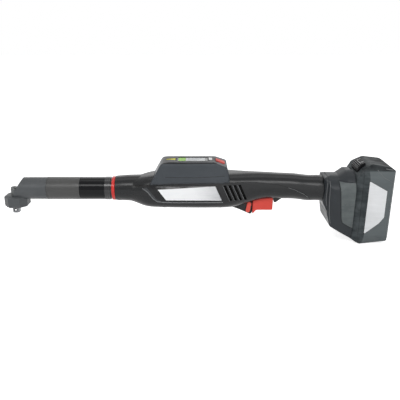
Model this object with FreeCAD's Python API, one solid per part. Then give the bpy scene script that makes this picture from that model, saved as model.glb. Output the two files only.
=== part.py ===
"""Cordless angle-head nutrunner: every separate piece as its own solid.

Lengths are in millimetres. The pieces are drawn about the tool's long axis, which runs along +X
from the output spindle (x = 0, z = 0) to the battery. As the last step everything is raised by
`axis_height`, so that the origin lies at the centre of the square drive's end face, +Z up.
"""
import FreeCAD
import Part
import math
import os

V = FreeCAD.Vector

# General fits
running_gap = 0.06
seat_gap = 0.02
part_gap = 0.3
seam_gap = 0.3
wall = 2.4

# Square drive and output spindle
axis_height = 37.5
drive_across = 9.53
drive_corner = 1.2
drive_top = -27.2
detent_radius = 1.9
detent_rise = 0.7
detent_stroke = 0.6
spindle_collar_radius = 6.2
spindle_journal_radius = 5.0
spindle_seat_radius = 4.5
spindle_tip_radius = 2.4
spindle_tip_top = -4.6

# Angle head: an octagonal boss below an elbow that is cut off slantwise
head_bottom = -26.3
head_shoulder = -11.0
head_crown = -9.4
head_front = 13.6
head_rear = 19.8
head_half_width = 16.4
head_front_corner = 8.6
head_rear_corner = 8.8
head_foot_chamfer = 1.5
head_crown_inset = 4.2
head_tube_radius = 16.3
head_tube_end = 52.0
slope_foot = (-1.0, -11.0)
slope_top = (14.1, 13.6)
base_plate_thickness = 2.2
base_screw_radius = 1.25
base_screw_head_radius = 2.2
base_screw_head = 1.4

# Spur pair in the boss: the transfer shaft stands behind the spindle
spur_module = 0.8
output_teeth = 22
transfer_teeth = 10
spur_face = (-19.2, -13.9)
chamber_ceiling = -13.4
transfer_x = spur_module * (output_teeth + transfer_teeth) / 2
main_bearing_radius = 8.5
main_bearing_span = (-25.0, -20.2)
transfer_journal_radius = 2.0
transfer_journal_bottom = -23.2
transfer_bearing_radius = 5.5
transfer_bearing_span = (-12.4, -8.9)
transfer_neck_radius = 2.5

# Bevel pair in the elbow
bevel_module = 0.8
bevel_pinion_teeth = 14
bevel_gear_teeth = 16
bevel_inner_share = 0.72
crown_hub_bottom = -8.4
bevel_chamber_radius = 8.1
bevel_chamber_top = -3.0
pinion_chamber_radius = 7.4

# Top cap on the boss
cap_radius = 5.2
cap_ring_radius = 4.7
cap_shoulder = -1.2
cap_top = 1.6
cap_stub_radius = 4.15
cap_hex_across = 4.0
cap_hex_depth = 2.4

# Pinion shaft
shaft_radius = 4.0
pinion_bearing_radius = 12.0
pinion_bearing_width = 6.0
front_bearing_start = 24.0
rear_bearing_start = 40.0

# Tube sections between the head and the body
tube_radius = 16.6
tube_bore = 14.4
tube_end = 100.0
spigot_length = 5.5
head_socket_radius = 14.1
sleeve_bore = 15.0
sleeve_end = 137.0
collar_end = 145.3
collar_radius = 17.2
collar_groove_depth = 0.7
red_ring_start = 147.4
red_ring_end = 152.0
red_ring_radius = 17.6
body_start = 152.3

# Planetary stage
gear_module = 0.62
sun_teeth = 12
planet_teeth = 15
planet_count = 3
ring_teeth = sun_teeth + 2 * planet_teeth
gear_face = (68.8, 79.6)
gear_clearance = 0.25
gear_backlash = 0.12
pressure_angle = math.radians(20)
carrier_plate = (62.0, 67.8)
carrier_radius = 11.6
planet_pin_radius = 1.9

# Torque transducer and drive shaft
transducer_flange = (83.5, 87.5)
transducer_end = 131.0
transducer_wall = 1.6
transducer_radius = 9.2
drive_shaft_radius = 2.5
shaft_bearing_radius = 7.5

# Motor
motor_start = 159.0
motor_end = 212.0
motor_radius = 14.6
motor_can_wall = 1.3
stator_bore = 8.7
rotor_radius = 8.1
motor_shaft_radius = 3.0
coil_reach = 5.0
stack_reach = 10.0
motor_bearing_radius = 6.5
motor_bearing_width = 4.0
coupling_radius = 5.5
fan_radius = 13.4
fan_blades = 9

# Body: x, centre height, half width, top, bottom, squareness
stations = (
    (152.3, 0.0, 17.6, 17.6, -17.6, 2.0),
    (166.0, 0.0, 17.9, 18.6, -17.9, 2.0),
    (178.0, 0.0, 19.6, 19.2, -19.8, 2.1),
    (189.0, 0.0, 23.0, 19.8, -23.4, 2.4),
    (201.0, 0.0, 26.2, 22.8, -25.6, 2.8),
    (222.0, 0.0, 28.0, 25.4, -25.9, 3.2),
    (262.0, 0.0, 28.3, 25.8, -26.3, 3.3),
    (304.0, 0.0, 28.2, 26.0, -26.4, 3.2),
    (322.0, 0.6, 26.8, 25.8, -26.4, 2.8),
    (340.0, 2.2, 23.8, 25.4, -23.6, 2.4),
    (360.0, 3.8, 21.3, 24.9, -17.8, 2.1),
    (382.0, 4.8, 19.8, 23.9, -15.2, 2.0),
    (404.0, 4.5, 19.4, 22.9, -15.4, 2.0),
    (424.0, 2.6, 19.2, 21.2, -16.8, 2.0),
    (441.0, 0.8, 19.1, 19.8, -18.3, 2.0),
    (456.0, 0.0, 19.4, 19.3, -19.4, 2.0),
)
section_points = 16
handle_end = 456.0
seam = (
    (138.0, 7.2), (167.0, 8.0), (203.0, 12.4), (230.0, 14.4), (272.0, 15.2), (318.0, 15.8),
    (350.0, 15.2), (372.0, 13.4), (395.0, 9.6), (413.0, 4.6), (427.0, -2.2), (436.0, -9.6),
    (444.0, -24.0),
)

# Display pod
pod_foot_front = (199.5, 12.6)
pod_foot_rear = (318.6, 16.1)
pod_front_knee = (220.8, 43.0)
pod_deck_front = 232.0
pod_deck_rear = 296.6
pod_deck_height = 44.4
pod_rear_knee = (315.4, 37.4)
pod_foot_half_width = 28.3
pod_front_half_width = 25.4
pod_deck_half_width = 20.4
pod_wall = 2.2
pod_round = 5.0
display_span = (243.5, 287.5)
display_half_width = 10.4
display_thickness = 1.6
display_recess = 0.4
arrow_span = (227.5, 240.5)
white_key_x = 291.6
white_key_size = (5.2, 10.4)
red_key_size = (13.8, 12.5)
red_key_foot = 2.0
red_key_lip = 1.0
red_key_round = 1.5
key_travel = 1.0
key_rise = 0.8
key_lip = 1.2
key_switch_half = 2.2
key_switch_gap = 0.25
pod_board_span = (226.0, 297.0)
pod_board_half_width = 13.0
pod_board_thickness = 1.6
pod_board_drop = 4.2
pod_board_posts = (235.0, 11.4)
pod_post_radius = 1.6
screen_margin = 2.5
arrow_half_width = 4.2
red_board = (8.0, 7.5, 6.4, 1.4)
red_dome_radius = 2.4

# Side plate and vents
plate_points = ((211.8, 11.6), (298.4, 12.0), (308.4, -10.2), (227.3, -9.8))
plate_thickness = 0.5
plate_seat = 27.2
vent_count = 4
vent_pitch = 7.2
vent_width = 4.0
vent_top = (311.4, 12.6)
vent_bottom = (321.4, -10.8)
louvre_edge = 2.4
louvre_count = 5
louvre_pitch = 4.6
louvre_width = 2.2
louvre_depths = (0.2, 1.0, 1.6)

# Guard nose, direction selector and trigger
nose_half_width = 8.2
nose_side = ((316.0, -16.0), (316.0, -24.5), (334.0, -30.8, 40.0), (351.8, -39.0, 2.0),
             (354.2, -35.8, 1.4), (354.2, -14.0))
nose_cavity = ((326.0, -14.0), (326.0, -24.0), (340.0, -28.6), (343.2, -30.4), (343.2, -14.0))
nose_edge_round = 2.2
rear_nose_side = ((384.0, -10.0), (386.2, -20.2, 1.0), (389.6, -19.6, 1.0), (398.0, -13.0))
rear_nose_half_width = 7.0
selector_centre = (348.4, -26.4)
selector_size = (6.0, 16.4)
selector_tilt = 10.0
selector_half_length = 11.2
selector_travel = 2.4
trigger_front = 354.6
trigger_rear = 385.0
trigger_bottom = -31.4
trigger_beak = -38.8
trigger_half_width = 9.0
trigger_travel = 6.0
trigger_flange_half_width = 10.6
trigger_flange_top = -6.0

# Battery adaptor
adaptor_start = 456.3
adaptor_end = 498.6
adaptor_half_width = 33.0
adaptor_wall = 2.4
adaptor_brow = ((456.3, 20.0, 2.0), (467.0, 22.9))
adaptor_front_line = ((456.3, -17.0, 8.0), (460.5, -26.0, 10.0), (466.0, -49.2, 3.0))
adaptor_rear_bottom = -68.6
adaptor_step = (477.5, 488.0)
adaptor_tops = (22.8, 30.6)
adaptor_round = 30.0
adaptor_foot = (26.0, -90.0)
adaptor_foot_round = (-46.0, 14.0)
adaptor_nose_half_width = 17.5
adaptor_shoulder = (9.0, 29.0)
adaptor_plan_round = 9.0
panel_points = ((476.5, 17.0), (498.6, 17.0), (498.6, -50.8), (490.8, -46.9), (484.1, -42.9),
                (482.0, -36.5), (479.0, -7.5))
panel_round = 1.2
panel_rise = 0.5
panel_groove = 1.0
rail_half_width = 15.0
rail_lip = 3.0
rail_depth = 5.0
rail_bottom = -44.0
rail_top = 14.0
foot_groove = (4.6, 5.6)
foot_groove_depth = 0.6
foot_bore_radius = 14.0
foot_bore_depth = 8.0
terminal_window = (9.0, -30.0, 4.0)
terminal_base = (9.0, 12.0, 3.0)
terminal_gap = 0.2
blade_places = (-6.0, -2.0, 2.0, 6.0)
blade_size = (4.6, 1.0, 14.0)
blade_bottom = -27.0
hook_groove = (3.0, 7.0, 26.0)
battery_travel = 60.0

# Battery
battery_front = 499.0
battery_rear = 554.5
battery_half_width = 38.0
battery_front_half_width = 28.5
battery_chamfer_end = 515.0
battery_wall = 2.2
cell_radius = 9.2
cell_length = 65.0
cell_rows = 5
cell_columns = 2
cell_pitch = 18.7
cell_first = (519.0, -57.0)
latch_travel = 1.6

# Sizes that follow from the ones above
head_plate_top = head_bottom + base_plate_thickness
rear_bearing_end = rear_bearing_start + pinion_bearing_width
base_screw_places = [(-8.4, 9.6), (-8.4, -9.6), (9.8, 11.6), (9.8, -11.6)]
spigot_wall = 0.8
spigot_radius = spur_module * output_teeth / 2 + spur_module + spigot_wall
transfer_spigot_radius = spur_module * transfer_teeth / 2 + spur_module + spigot_wall

# Inside the body: screw bosses, ribs, the web below the pod and the control board
bridge_height = (15.8, 18.2)
bridge_half_width = 14.0
bridge_reach = 11.0
boss_radius = 3.6
screw_radius = 1.5
screw_head_radius = 2.8
rib_places = ((motor_start + 4, motor_radius), (motor_end - 6, motor_radius))
rib_width = 2.0
board_span = (230.0, 322.0)
board_bottom = -22.0
board_top = 13.0
board_thickness = 2.0
board_slot_depth = 8.0
board_rib_inset = 4.0
board_gap = 0.05
component_count = 4
component_pitch = 16.0
component_first = (240.0, 0.5, -16.0)
component_size = (10.0, 8.5, 12.0)
component_climb = 3.0
capacitor_count = 3
capacitor_radius = 6.5
capacitor_length = 14.0
capacitor_place = (246.0, 4.0)

# Trigger switch and its spring
switch_bottom = 3.0
plunger_radius = 1.6
spring_x = 366.0
plunger_x = 376.0
switch_span = (359.0, 382.5)
switch_half_width = 6.6
switch_height = 11.0
switch_tab_half_width = 9.0
switch_tab_height = 2.0
switch_tab_reach = 2.0
switch_post_radius = 2.2
leaf_half_length = 5.5
leaf_half_width = 3.5
leaf_thickness = 0.5

# Battery outlines: the side seen from -Y, the plan and the section seen from the front
front_plate_end = 507.5
battery_toe = -69.3
battery_keel = ((511.8, -76.7, 3.0), (548.0, -71.0))
battery_heel = (-66.0, 5.0)
battery_nape = (34.6, 9.0)
battery_crown = ((546.0, 39.5, 8.0), (519.0, 43.4, 8.0), (508.0, 35.2, 4.0))
battery_lip = 23.4
battery_rear_corner = (6.5, 6.0)
battery_rear_flat = (13.0, 8.0)
battery_section = (-80.0, 46.0)
battery_low_corner = (9.0, -62.0, 10.0)
battery_high_corner = (17.0, 27.0, 9.0)
battery_edge_round = 6.0
latch_side = ((502.2, 30.6), (504.2, 37.4, 3.0), (508.4, 41.4, 2.0), (512.9, 43.0), (512.9, 30.0), (503.5, 30.0))
latch_half_width = 14.9
latch_gap = 0.4
latch_pocket_floor = 27.6
latch_rib = ((500.0, 33.4), (503.4, 32.8), (503.8, 33.7), (500.0, 34.3))
latch_rib_count = 4
latch_rib_step = (1.2, 2.1)
latch_slot = (501.2, 7.6, 18.0, 34.0)
label_points = ((514.6, 22.5, 1.0), (540.6, 8.0, 1.0), (540.8, -32.0, 4.0), (534.4, -41.0, 3.0),
                (514.6, -57.6, 1.0))
label_grow = ((-1, 1), (1, 1), (1, -0.5), (1, -1), (-1, -1.5))
label_sink = 0.5
label_rise = 0.3
holder_thickness = 4.0
holder_places = (-24.0, 20.0)



def cyl_x(x0, x1, radius, y=0.0, z=0.0):
    return Part.makeCylinder(radius, x1 - x0, V(x0, y, z), V(1, 0, 0))


def cyl_y(y0, y1, radius, x, z):
    return Part.makeCylinder(radius, y1 - y0, V(x, y0, z), V(0, 1, 0))


def cyl_z(z0, z1, radius, x=0.0, y=0.0):
    return Part.makeCylinder(radius, z1 - z0, V(x, y, z0))


def ring_x(x0, x1, outer, inner):
    return cyl_x(x0, x1, outer).cut(cyl_x(x0 - 1, x1 + 1, inner))


def ring_z(z0, z1, outer, inner, x=0.0, y=0.0):
    return cyl_z(z0, z1, outer, x, y).cut(cyl_z(z0 - 1, z1 + 1, inner, x, y))


def box(x0, x1, y0, y1, z0, z1):
    return Part.makeBox(x1 - x0, y1 - y0, z1 - z0, V(x0, y0, z0))


def fuse(shapes):
    first, rest = shapes[0], shapes[1:]
    return first.fuse(rest).removeSplitter() if rest else first


def rounded_face(corners, to_space):
    """Face of a flat outline; each corner is (a, b) or (a, b, radius) in its own plane."""
    count = len(corners)
    starts, arcs = [], []
    for i, corner in enumerate(corners):
        here = V(corner[0], corner[1], 0)
        before = V(corners[i - 1][0], corners[i - 1][1], 0)
        after = V(corners[(i + 1) % count][0], corners[(i + 1) % count][1], 0)
        radius = corner[2] if len(corner) > 2 else 0.0
        if not radius:
            starts.append((here, here))
            arcs.append(None)
            continue
        back, ahead = (before - here).normalize(), (after - here).normalize()
        half = back.getAngle(ahead) / 2
        reach = radius / math.tan(half)
        middle = (back + ahead).normalize()
        centre = here + middle * (radius / math.sin(half))
        starts.append((here + back * reach, here + ahead * reach))
        arcs.append(centre - middle * radius)
    edges = []
    for i, (first, last) in enumerate(starts):
        if arcs[i] is not None:
            edges.append(Part.Arc(*(to_space(p) for p in (first, arcs[i], last))).toShape())
        following = starts[(i + 1) % count][0]
        if (following - last).Length > 1e-6:
            edges.append(Part.makeLine(to_space(last), to_space(following)))
    return Part.Face(Part.Wire(edges))


def prism_y(corners, y0, y1):
    return rounded_face(corners, lambda p: V(p.x, y0, p.y)).extrude(V(0, y1 - y0, 0))


def prism_z(corners, z0, z1):
    return rounded_face(corners, lambda p: V(p.x, p.y, z0)).extrude(V(0, 0, z1 - z0))


def prism_x(corners, x0, x1):
    return rounded_face(corners, lambda p: V(x0, p.x, p.y)).extrude(V(x1 - x0, 0, 0))


def bearing(outer, inner, width):
    """Sealed ball bearing along +Z from z = 0: two races with the seals set back a little."""
    shape = ring_z(0, width, outer, inner)
    race = (outer - inner) * 0.22
    seal = 0.3
    for z in (0, width - seal):
        shape = shape.cut(ring_z(z, z + seal, outer - race, inner + race))
    return shape


def along_x(shape, x):
    """Turn a shape drawn along +Z so that it runs along +X from x."""
    turned = shape.copy()
    turned.rotate(V(0, 0, 0), V(0, 1, 0), 90)
    turned.translate(V(x, 0, 0))
    return turned


def at(shape, x, y, z):
    moved = shape.copy()
    moved.translate(V(x, y, z))
    return moved


def involute(angle):
    return math.tan(angle) - angle


def tooth_half_angle(teeth, pitch_radius, radius, slack):
    base = pitch_radius * math.cos(pressure_angle)
    angle = math.acos(min(1.0, base / max(radius, base)))
    return math.pi / (2 * teeth) - slack / pitch_radius + involute(pressure_angle) - involute(angle)


def gear_wire(teeth, pitch_radius, root, tip, slack, z=0.0, turn=0.0):
    """Closed outline of an involute gear in the XY plane; a tooth points along `turn`."""
    points = []
    for tooth in range(teeth):
        centre = turn + 2 * math.pi * tooth / teeth
        flank = [(r, tooth_half_angle(teeth, pitch_radius, r, slack)) for r in (root, pitch_radius, tip)]
        side = [(r, -a) for r, a in flank] + [(r, a) for r, a in reversed(flank)]
        points += [V(r * math.cos(centre + a), r * math.sin(centre + a), z) for r, a in side]
    return Part.makePolygon(points + points[:1])


def spur(teeth, module, width, slack=gear_backlash, turn=0.0):
    pitch = teeth * module / 2
    wire = gear_wire(teeth, pitch, pitch - module - gear_clearance, pitch + module * 0.92, slack, 0.0, turn)
    return Part.Face(wire).extrude(V(0, 0, width))


def bevel(teeth, other_teeth, turn=0.0):
    """Bevel gear with its apex at the origin, opening along +Z: teeth, and where they end."""
    pitch, distance = bevel_module * teeth / 2, bevel_module * other_teeth / 2
    lean = math.cos(math.atan2(pitch, distance))
    root = pitch - (bevel_module + gear_clearance / 2) / lean
    tip = pitch + bevel_module * 0.65 / lean
    outer = gear_wire(teeth, pitch, root, tip, gear_backlash / 2, distance, turn)
    inner = outer.copy()
    inner.scale(bevel_inner_share, V(0, 0, 0))
    return Part.makeLoft([inner, outer], True, True), root, distance


def octagon(z0, z1, inset=0.0, far_inset=None):
    """The head's plan outline between two heights; with `far_inset` its walls lean inwards."""
    def corners(by):
        front, rear, side = -head_front + by, head_rear - by, head_half_width - by
        cut_front, cut_rear = head_front_corner - by * 0.6, head_rear_corner - by * 0.6
        half = [(front, -side + cut_front), (front + cut_front, -side), (rear - cut_rear, -side),
                (rear, -side + cut_rear)]
        return half + [(x, -y) for x, y in reversed(half)]
    if far_inset is None:
        return prism_z(corners(inset), z0, z1)
    wires = [Part.makePolygon([V(x, y, z) for x, y in corners(by) + corners(by)[:1]])
             for by, z in ((inset, z0), (far_inset, z1))]
    return Part.makeLoft(wires, True, True)


def angle_head_housing():
    boss = fuse([octagon(head_plate_top, head_shoulder),
                 octagon(head_shoulder, head_crown, 0.0, head_crown_inset)])
    elbow = cyl_x(slope_foot[0] - 1, head_tube_end, head_tube_radius)
    dx, dz = slope_top[0] - slope_foot[0], slope_top[1] - slope_foot[1]
    reach = 2.0
    above = [(slope_foot[0] - dx * reach, slope_foot[1] - dz * reach),
             (slope_foot[0] + dx * reach, slope_foot[1] + dz * reach),
             (-60.0, slope_foot[1] + dz * reach), (-60.0, slope_foot[1] - dz * reach)]
    elbow = elbow.cut(prism_y(above, -30, 30))
    toe = elbow.common(box(-30, 12, -30, 30, -30, head_shoulder))
    elbow = elbow.cut(toe)
    shape = boss.fuse([elbow]).removeSplitter()
    cuts = [
        cyl_z(head_crown, 30, cap_radius + 0.1),
        cyl_z(chamber_ceiling - 1, head_crown + 1, cap_stub_radius + seat_gap),
        cyl_z(head_bottom, chamber_ceiling, spigot_radius + seat_gap),
        cyl_z(head_bottom, chamber_ceiling, transfer_spigot_radius + seat_gap, transfer_x),
        cyl_z(chamber_ceiling - 1, transfer_bearing_span[1] + part_gap,
              transfer_neck_radius + 1.2, transfer_x),
        cyl_z(transfer_bearing_span[0], bevel_chamber_top - 2, transfer_bearing_radius + seat_gap,
              transfer_x),
        cyl_z(transfer_bearing_span[1] + part_gap, bevel_chamber_top, bevel_chamber_radius, transfer_x),
        cyl_x(transfer_x + 3.6, front_bearing_start, pinion_chamber_radius),
        cyl_x(front_bearing_start, rear_bearing_end + 1, pinion_bearing_radius + seat_gap),
        cyl_x(rear_bearing_end, head_tube_end + 1, head_socket_radius),
    ]
    cuts += [cyl_z(head_plate_top - 1, head_plate_top + 5, base_screw_radius + seat_gap, x, y)
             for x, y in base_screw_places]
    for tool in cuts:
        shape = shape.cut(tool)
    return shape


def head_base_plate():
    plate = fuse([octagon(head_bottom, head_bottom + head_foot_chamfer, head_foot_chamfer * 0.8, 0.0),
                  octagon(head_bottom + head_foot_chamfer, head_plate_top)])
    top = spur_face[0] - part_gap
    shape = fuse([plate, cyl_z(head_plate_top - 1, top, spigot_radius),
                  cyl_z(head_plate_top - 1, top, transfer_spigot_radius, transfer_x)])
    shape = shape.cut(cyl_z(head_bottom - 1, top, spindle_collar_radius + running_gap * 2))
    shape = shape.cut(cyl_z(main_bearing_span[0], top + 1, main_bearing_radius + seat_gap))
    shape = shape.cut(cyl_z(transfer_journal_bottom, top + 1, transfer_journal_radius + running_gap,
                            transfer_x))
    for x, y in base_screw_places:
        shape = shape.cut(cyl_z(head_bottom - 1, head_plate_top + 1, base_screw_radius + 0.2, x, y))
        shape = shape.cut(cyl_z(head_bottom - 1, head_bottom + base_screw_head,
                                base_screw_head_radius + 0.15, x, y))
    return shape


def base_plate_screws():
    screws = []
    for x, y in base_screw_places:
        head = cyl_z(head_bottom + 0.1, head_bottom + base_screw_head, base_screw_head_radius, x, y)
        socket = hexagon(2.0, head_bottom, head_bottom + 0.9, x, y)
        screws.append(head.fuse(cyl_z(head_bottom + 1, head_plate_top + 4.8, base_screw_radius, x, y))
                      .cut(socket))
    return Part.makeCompound(screws)


def hexagon(across, z0, z1, x=0.0, y=0.0):
    corner = across / math.sqrt(3)
    corners = [(x + corner * math.cos(math.pi * k / 3), y + corner * math.sin(math.pi * k / 3))
               for k in range(6)]
    return prism_z(corners, z0, z1)


def output_spindle():
    half, cut = drive_across / 2, drive_corner
    corners = [(half, half - cut), (half - cut, half), (-half + cut, half), (-half, half - cut),
               (-half, -half + cut), (-half + cut, -half), (half - cut, -half), (half, -half + cut)]
    drive = prism_z(corners, -axis_height, drive_top)
    drive = drive.common(Part.makeCone(half * 1.12, half * 1.12 + 12, 12, V(0, 0, -axis_height)))
    hole_depth = detent_radius * 2 + 1.2
    hole = cyl_y(-half - 1, -half + hole_depth, detent_radius + running_gap, 0, detent_z())
    seat_top = spur_face[1]
    body = fuse([
        drive,
        cyl_z(drive_top - 0.01, main_bearing_span[0], spindle_collar_radius),
        cyl_z(main_bearing_span[0] - 0.5, spur_face[0], spindle_journal_radius),
        cyl_z(spur_face[0] - 0.5, seat_top, spindle_seat_radius),
        cyl_z(seat_top - 0.5, spindle_tip_top, spindle_tip_radius),
    ])
    return body.cut(hole)


def detent_z():
    return -axis_height + (drive_top + axis_height) * 0.46


def detent_ball():
    half = drive_across / 2
    centre = -half - detent_rise + detent_radius
    return Part.makeSphere(detent_radius, V(0, centre, detent_z()))


def detent_spring():
    half = drive_across / 2
    back = -half + detent_radius * 2 + 1.2
    front = -half - detent_rise + detent_radius * 2 + detent_stroke + 0.1
    return cyl_y(front, back - seat_gap, detent_radius * 0.55, 0, detent_z())


def output_gear():
    slack_turn = math.pi / output_teeth
    gear = spur(output_teeth, spur_module, spur_face[1] - spur_face[0], turn=slack_turn)
    return at(gear.cut(cyl_z(-1, 20, spindle_seat_radius + seat_gap)), 0, 0, spur_face[0])


def transfer_shaft():
    gear = at(spur(transfer_teeth, spur_module, spur_face[1] - spur_face[0], turn=math.pi),
              transfer_x, 0, spur_face[0])
    return fuse([
        gear,
        cyl_z(transfer_journal_bottom + 0.3, spur_face[0] + 0.5, transfer_journal_radius, transfer_x),
        cyl_z(spur_face[1] - 0.5, crown_hub_bottom, transfer_neck_radius, transfer_x),
        cyl_z(crown_hub_bottom - 0.5, -4.6, transfer_journal_radius, transfer_x),
    ])


def crown_gear():
    turn = math.pi / bevel_gear_teeth
    teeth, root, distance = bevel(bevel_gear_teeth, bevel_pinion_teeth, turn)
    hub = cyl_z(distance + 0.5, -crown_hub_bottom, transfer_neck_radius + 1.6)
    web = cyl_z(distance - 0.1, distance + 1.4, root - 0.2)
    shape = fuse([teeth, web, hub]).cut(cyl_z(-1, 20, transfer_journal_radius + seat_gap))
    shape.rotate(V(0, 0, 0), V(1, 0, 0), 180)
    shape.translate(V(transfer_x, 0, 0))
    return shape


def bevel_pinion():
    teeth, root, distance = bevel(bevel_pinion_teeth, bevel_gear_teeth)
    back = front_bearing_start - transfer_x
    neck = Part.makeCone(root + 0.3, shaft_radius + 1.2, back - distance, V(0, 0, distance))
    end = carrier_plate[0] - transfer_x
    flats = box(-9, 9, shaft_radius - 0.8, 9, end, end + 10)
    shape = fuse([teeth, neck, cyl_z(back - 0.1, end + 4.0, shaft_radius)])
    shape = shape.cut(flats)
    turned = shape.copy()
    turned.rotate(V(0, 0, 0), V(0, 1, 0), 90)
    turned.translate(V(transfer_x, 0, 0))
    return turned


def head_top_cap():
    hexagon_cut = hexagon(cap_hex_across, cap_top - cap_hex_depth, cap_top + 1)
    body = fuse([
        cyl_z(chamber_ceiling, head_crown + 0.5, cap_stub_radius),
        cyl_z(head_crown, cap_shoulder, cap_radius),
        Part.makeCone(cap_radius, cap_ring_radius, 0.6, V(0, 0, cap_shoulder)),
        cyl_z(cap_shoulder + 0.6, cap_top, cap_ring_radius),
    ])
    bore = cyl_z(chamber_ceiling - 1, spindle_tip_top + 0.5, spindle_tip_radius + running_gap)
    return body.cut(bore).cut(hexagon_cut)


def tube_sections():
    """The grey gearbox tube, the black transducer sleeve and the metal flange behind them."""
    stop = pinion_bearing_radius - 1.2
    tube = fuse([ring_x(head_tube_end, tube_end, tube_radius, tube_bore),
                 ring_x(head_tube_end, head_tube_end + 4, tube_bore + 1, stop),
                 ring_x(rear_bearing_end + seat_gap, head_tube_end + 1, head_socket_radius - seat_gap,
                        stop),
                 ring_x(tube_end - 1, tube_end + spigot_length, sleeve_bore - seat_gap, tube_bore)])
    groove = ring_x(head_tube_end + 0.6, head_tube_end + 1.4, tube_radius + 1, tube_radius - 0.4)
    sleeve = ring_x(tube_end + 0.1, sleeve_end, tube_radius, sleeve_bore)
    for x in (tube_end + 1.6, sleeve_end - 2.4):
        sleeve = sleeve.cut(ring_x(x, x + 0.8, tube_radius + 1, tube_radius - 0.3))
    bore = coupling_radius + 1.5
    flange = fuse([ring_x(sleeve_end - 4, sleeve_end, sleeve_bore - seat_gap, bore),
                   ring_x(sleeve_end - 1, collar_end + 1, collar_radius - 3.2, bore),
                   ring_x(collar_end + 0.2, red_ring_start, tube_radius - 1.2, bore),
                   ring_x(red_ring_start - 0.5, red_ring_end + 5.0, red_ring_radius - 2.6, bore)])
    return tube.cut(groove), sleeve, flange


def union_collar():
    outer = ring_x(sleeve_end + 0.2, collar_end, collar_radius, collar_radius - 3.2 + seat_gap)
    pitch = (collar_end - sleeve_end) / 3
    for k in range(1, 3):
        x = sleeve_end + pitch * k
        outer = outer.cut(ring_x(x - 0.5, x + 0.5, collar_radius + 1, collar_radius - collar_groove_depth))
    return outer


def ring_gear():
    pitch = gear_module * ring_teeth / 2
    space = gear_wire(ring_teeth, pitch, pitch - gear_module * 0.85, pitch + gear_module + gear_clearance,
                      -gear_backlash)
    width = gear_face[1] - gear_face[0]
    cutter = Part.Face(space).extrude(V(0, 0, width + 2))
    blank = cyl_z(0, width, tube_bore - seat_gap)
    return along_x(blank.cut(at(cutter, 0, 0, -1)), gear_face[0])


def planet_angle(k):
    return 2 * math.pi * k / planet_count


def planet_centre(k):
    radius = gear_module * (sun_teeth + planet_teeth) / 2
    return radius * math.cos(planet_angle(k)), radius * math.sin(planet_angle(k))


def planet_gear(k):
    turn = planet_angle(k)
    gear = spur(planet_teeth, gear_module, gear_face[1] - gear_face[0] - 0.4, turn=turn)
    x, y = planet_centre(k)
    gear = gear.cut(cyl_z(-1, 20, planet_pin_radius + running_gap))
    return along_x(at(gear, x, y, 0), gear_face[0] + 0.2)


def planet_pins():
    pins = []
    for k in range(planet_count):
        x, y = planet_centre(k)
        length = gear_face[1] + 1.8 - carrier_plate[0] - 0.5
        pins.append(along_x(cyl_z(0, length, planet_pin_radius, x, y), carrier_plate[0] + 0.5))
    return Part.makeCompound(pins)


def planet_carrier():
    plate_width = carrier_plate[1] - carrier_plate[0]
    shape = fuse([cyl_z(0, plate_width, carrier_radius), cyl_z(-8, 1, shaft_radius + 2.4)])
    shape = shape.cut(cyl_z(-9, 4, shaft_radius + seat_gap))
    for k in range(planet_count):
        x, y = planet_centre(k)
        shape = shape.cut(cyl_z(0.5, 20, planet_pin_radius + seat_gap, x, y))
        between = planet_angle(k) + math.pi / planet_count
        shape = shape.cut(cyl_z(-1, 20, 1.5, 9.0 * math.cos(between), 9.0 * math.sin(between)))
    return along_x(shape, carrier_plate[0])


def drive_shaft():
    """Long shaft from the motor with the sun gear cut on its front end."""
    face = gear_face[1] - gear_face[0]
    sun = along_x(spur(sun_teeth, gear_module, face, turn=0.0), gear_face[0])
    return fuse([sun, cyl_x(gear_face[1] - 0.5, coupling_middle() - 0.3, drive_shaft_radius)])


def coupling_middle():
    return (red_ring_start + red_ring_end) / 2


def torque_transducer():
    """Measuring tube: the ring gear's reaction passes through its thin middle to the flange."""
    x0, x1 = transducer_flange
    shape = fuse([
        ring_x(x0, x1, tube_bore - seat_gap, shaft_bearing_radius + seat_gap),
        ring_x(x1 - 1, transducer_end, transducer_radius, transducer_radius - transducer_wall),
        ring_x(transducer_end - 2, sleeve_end - 4.0, sleeve_bore - seat_gap, transducer_radius - 1.6),
    ])
    for x in (x1 + 12, transducer_end - 14):
        shape = shape.cut(ring_x(x, x + 3, transducer_radius + 1, transducer_radius - 0.6))
    return shape


def motor_pieces():
    """Stator in its can, the rotor, both bearings and the end bell."""
    can = ring_x(motor_start, motor_end, motor_radius, motor_radius - motor_can_wall)
    front = ring_x(motor_start, motor_start + 3, motor_radius - 1, motor_bearing_radius + seat_gap)
    nose = ring_x(motor_start - 2.0, motor_start + 1, motor_bearing_radius + 2.2,
                  motor_bearing_radius + seat_gap)
    can = fuse([can, front, nose])
    stack = ring_x(motor_start + stack_reach, motor_end - stack_reach,
                   motor_radius - motor_can_wall - seat_gap, stator_bore)
    coil = ring_x(motor_start + coil_reach, motor_end - coil_reach, motor_radius - 2.8, stator_bore + 1.0)
    stator = stack.fuse([coil]).removeSplitter()
    bell = fuse([ring_x(motor_end, motor_end + 3, motor_radius, motor_bearing_radius + seat_gap),
                 ring_x(motor_end - 3, motor_end + 1, motor_radius - motor_can_wall - seat_gap,
                        motor_bearing_radius + 1.6)])
    return can, stator, bell


def rotor():
    start, end = coupling_middle() + 0.3, motor_end + 9
    magnets = cyl_x(motor_start + 11, motor_end - 11, rotor_radius)
    return fuse([magnets, cyl_x(start, end, motor_shaft_radius)])


def shaft_coupling():
    shape = cyl_x(red_ring_start - 3, red_ring_end + 3, coupling_radius)
    shape = shape.cut(cyl_x(red_ring_start - 4, coupling_middle(), drive_shaft_radius + seat_gap))
    shape = shape.cut(cyl_x(coupling_middle(), red_ring_end + 4, motor_shaft_radius + seat_gap))
    return shape


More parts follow.
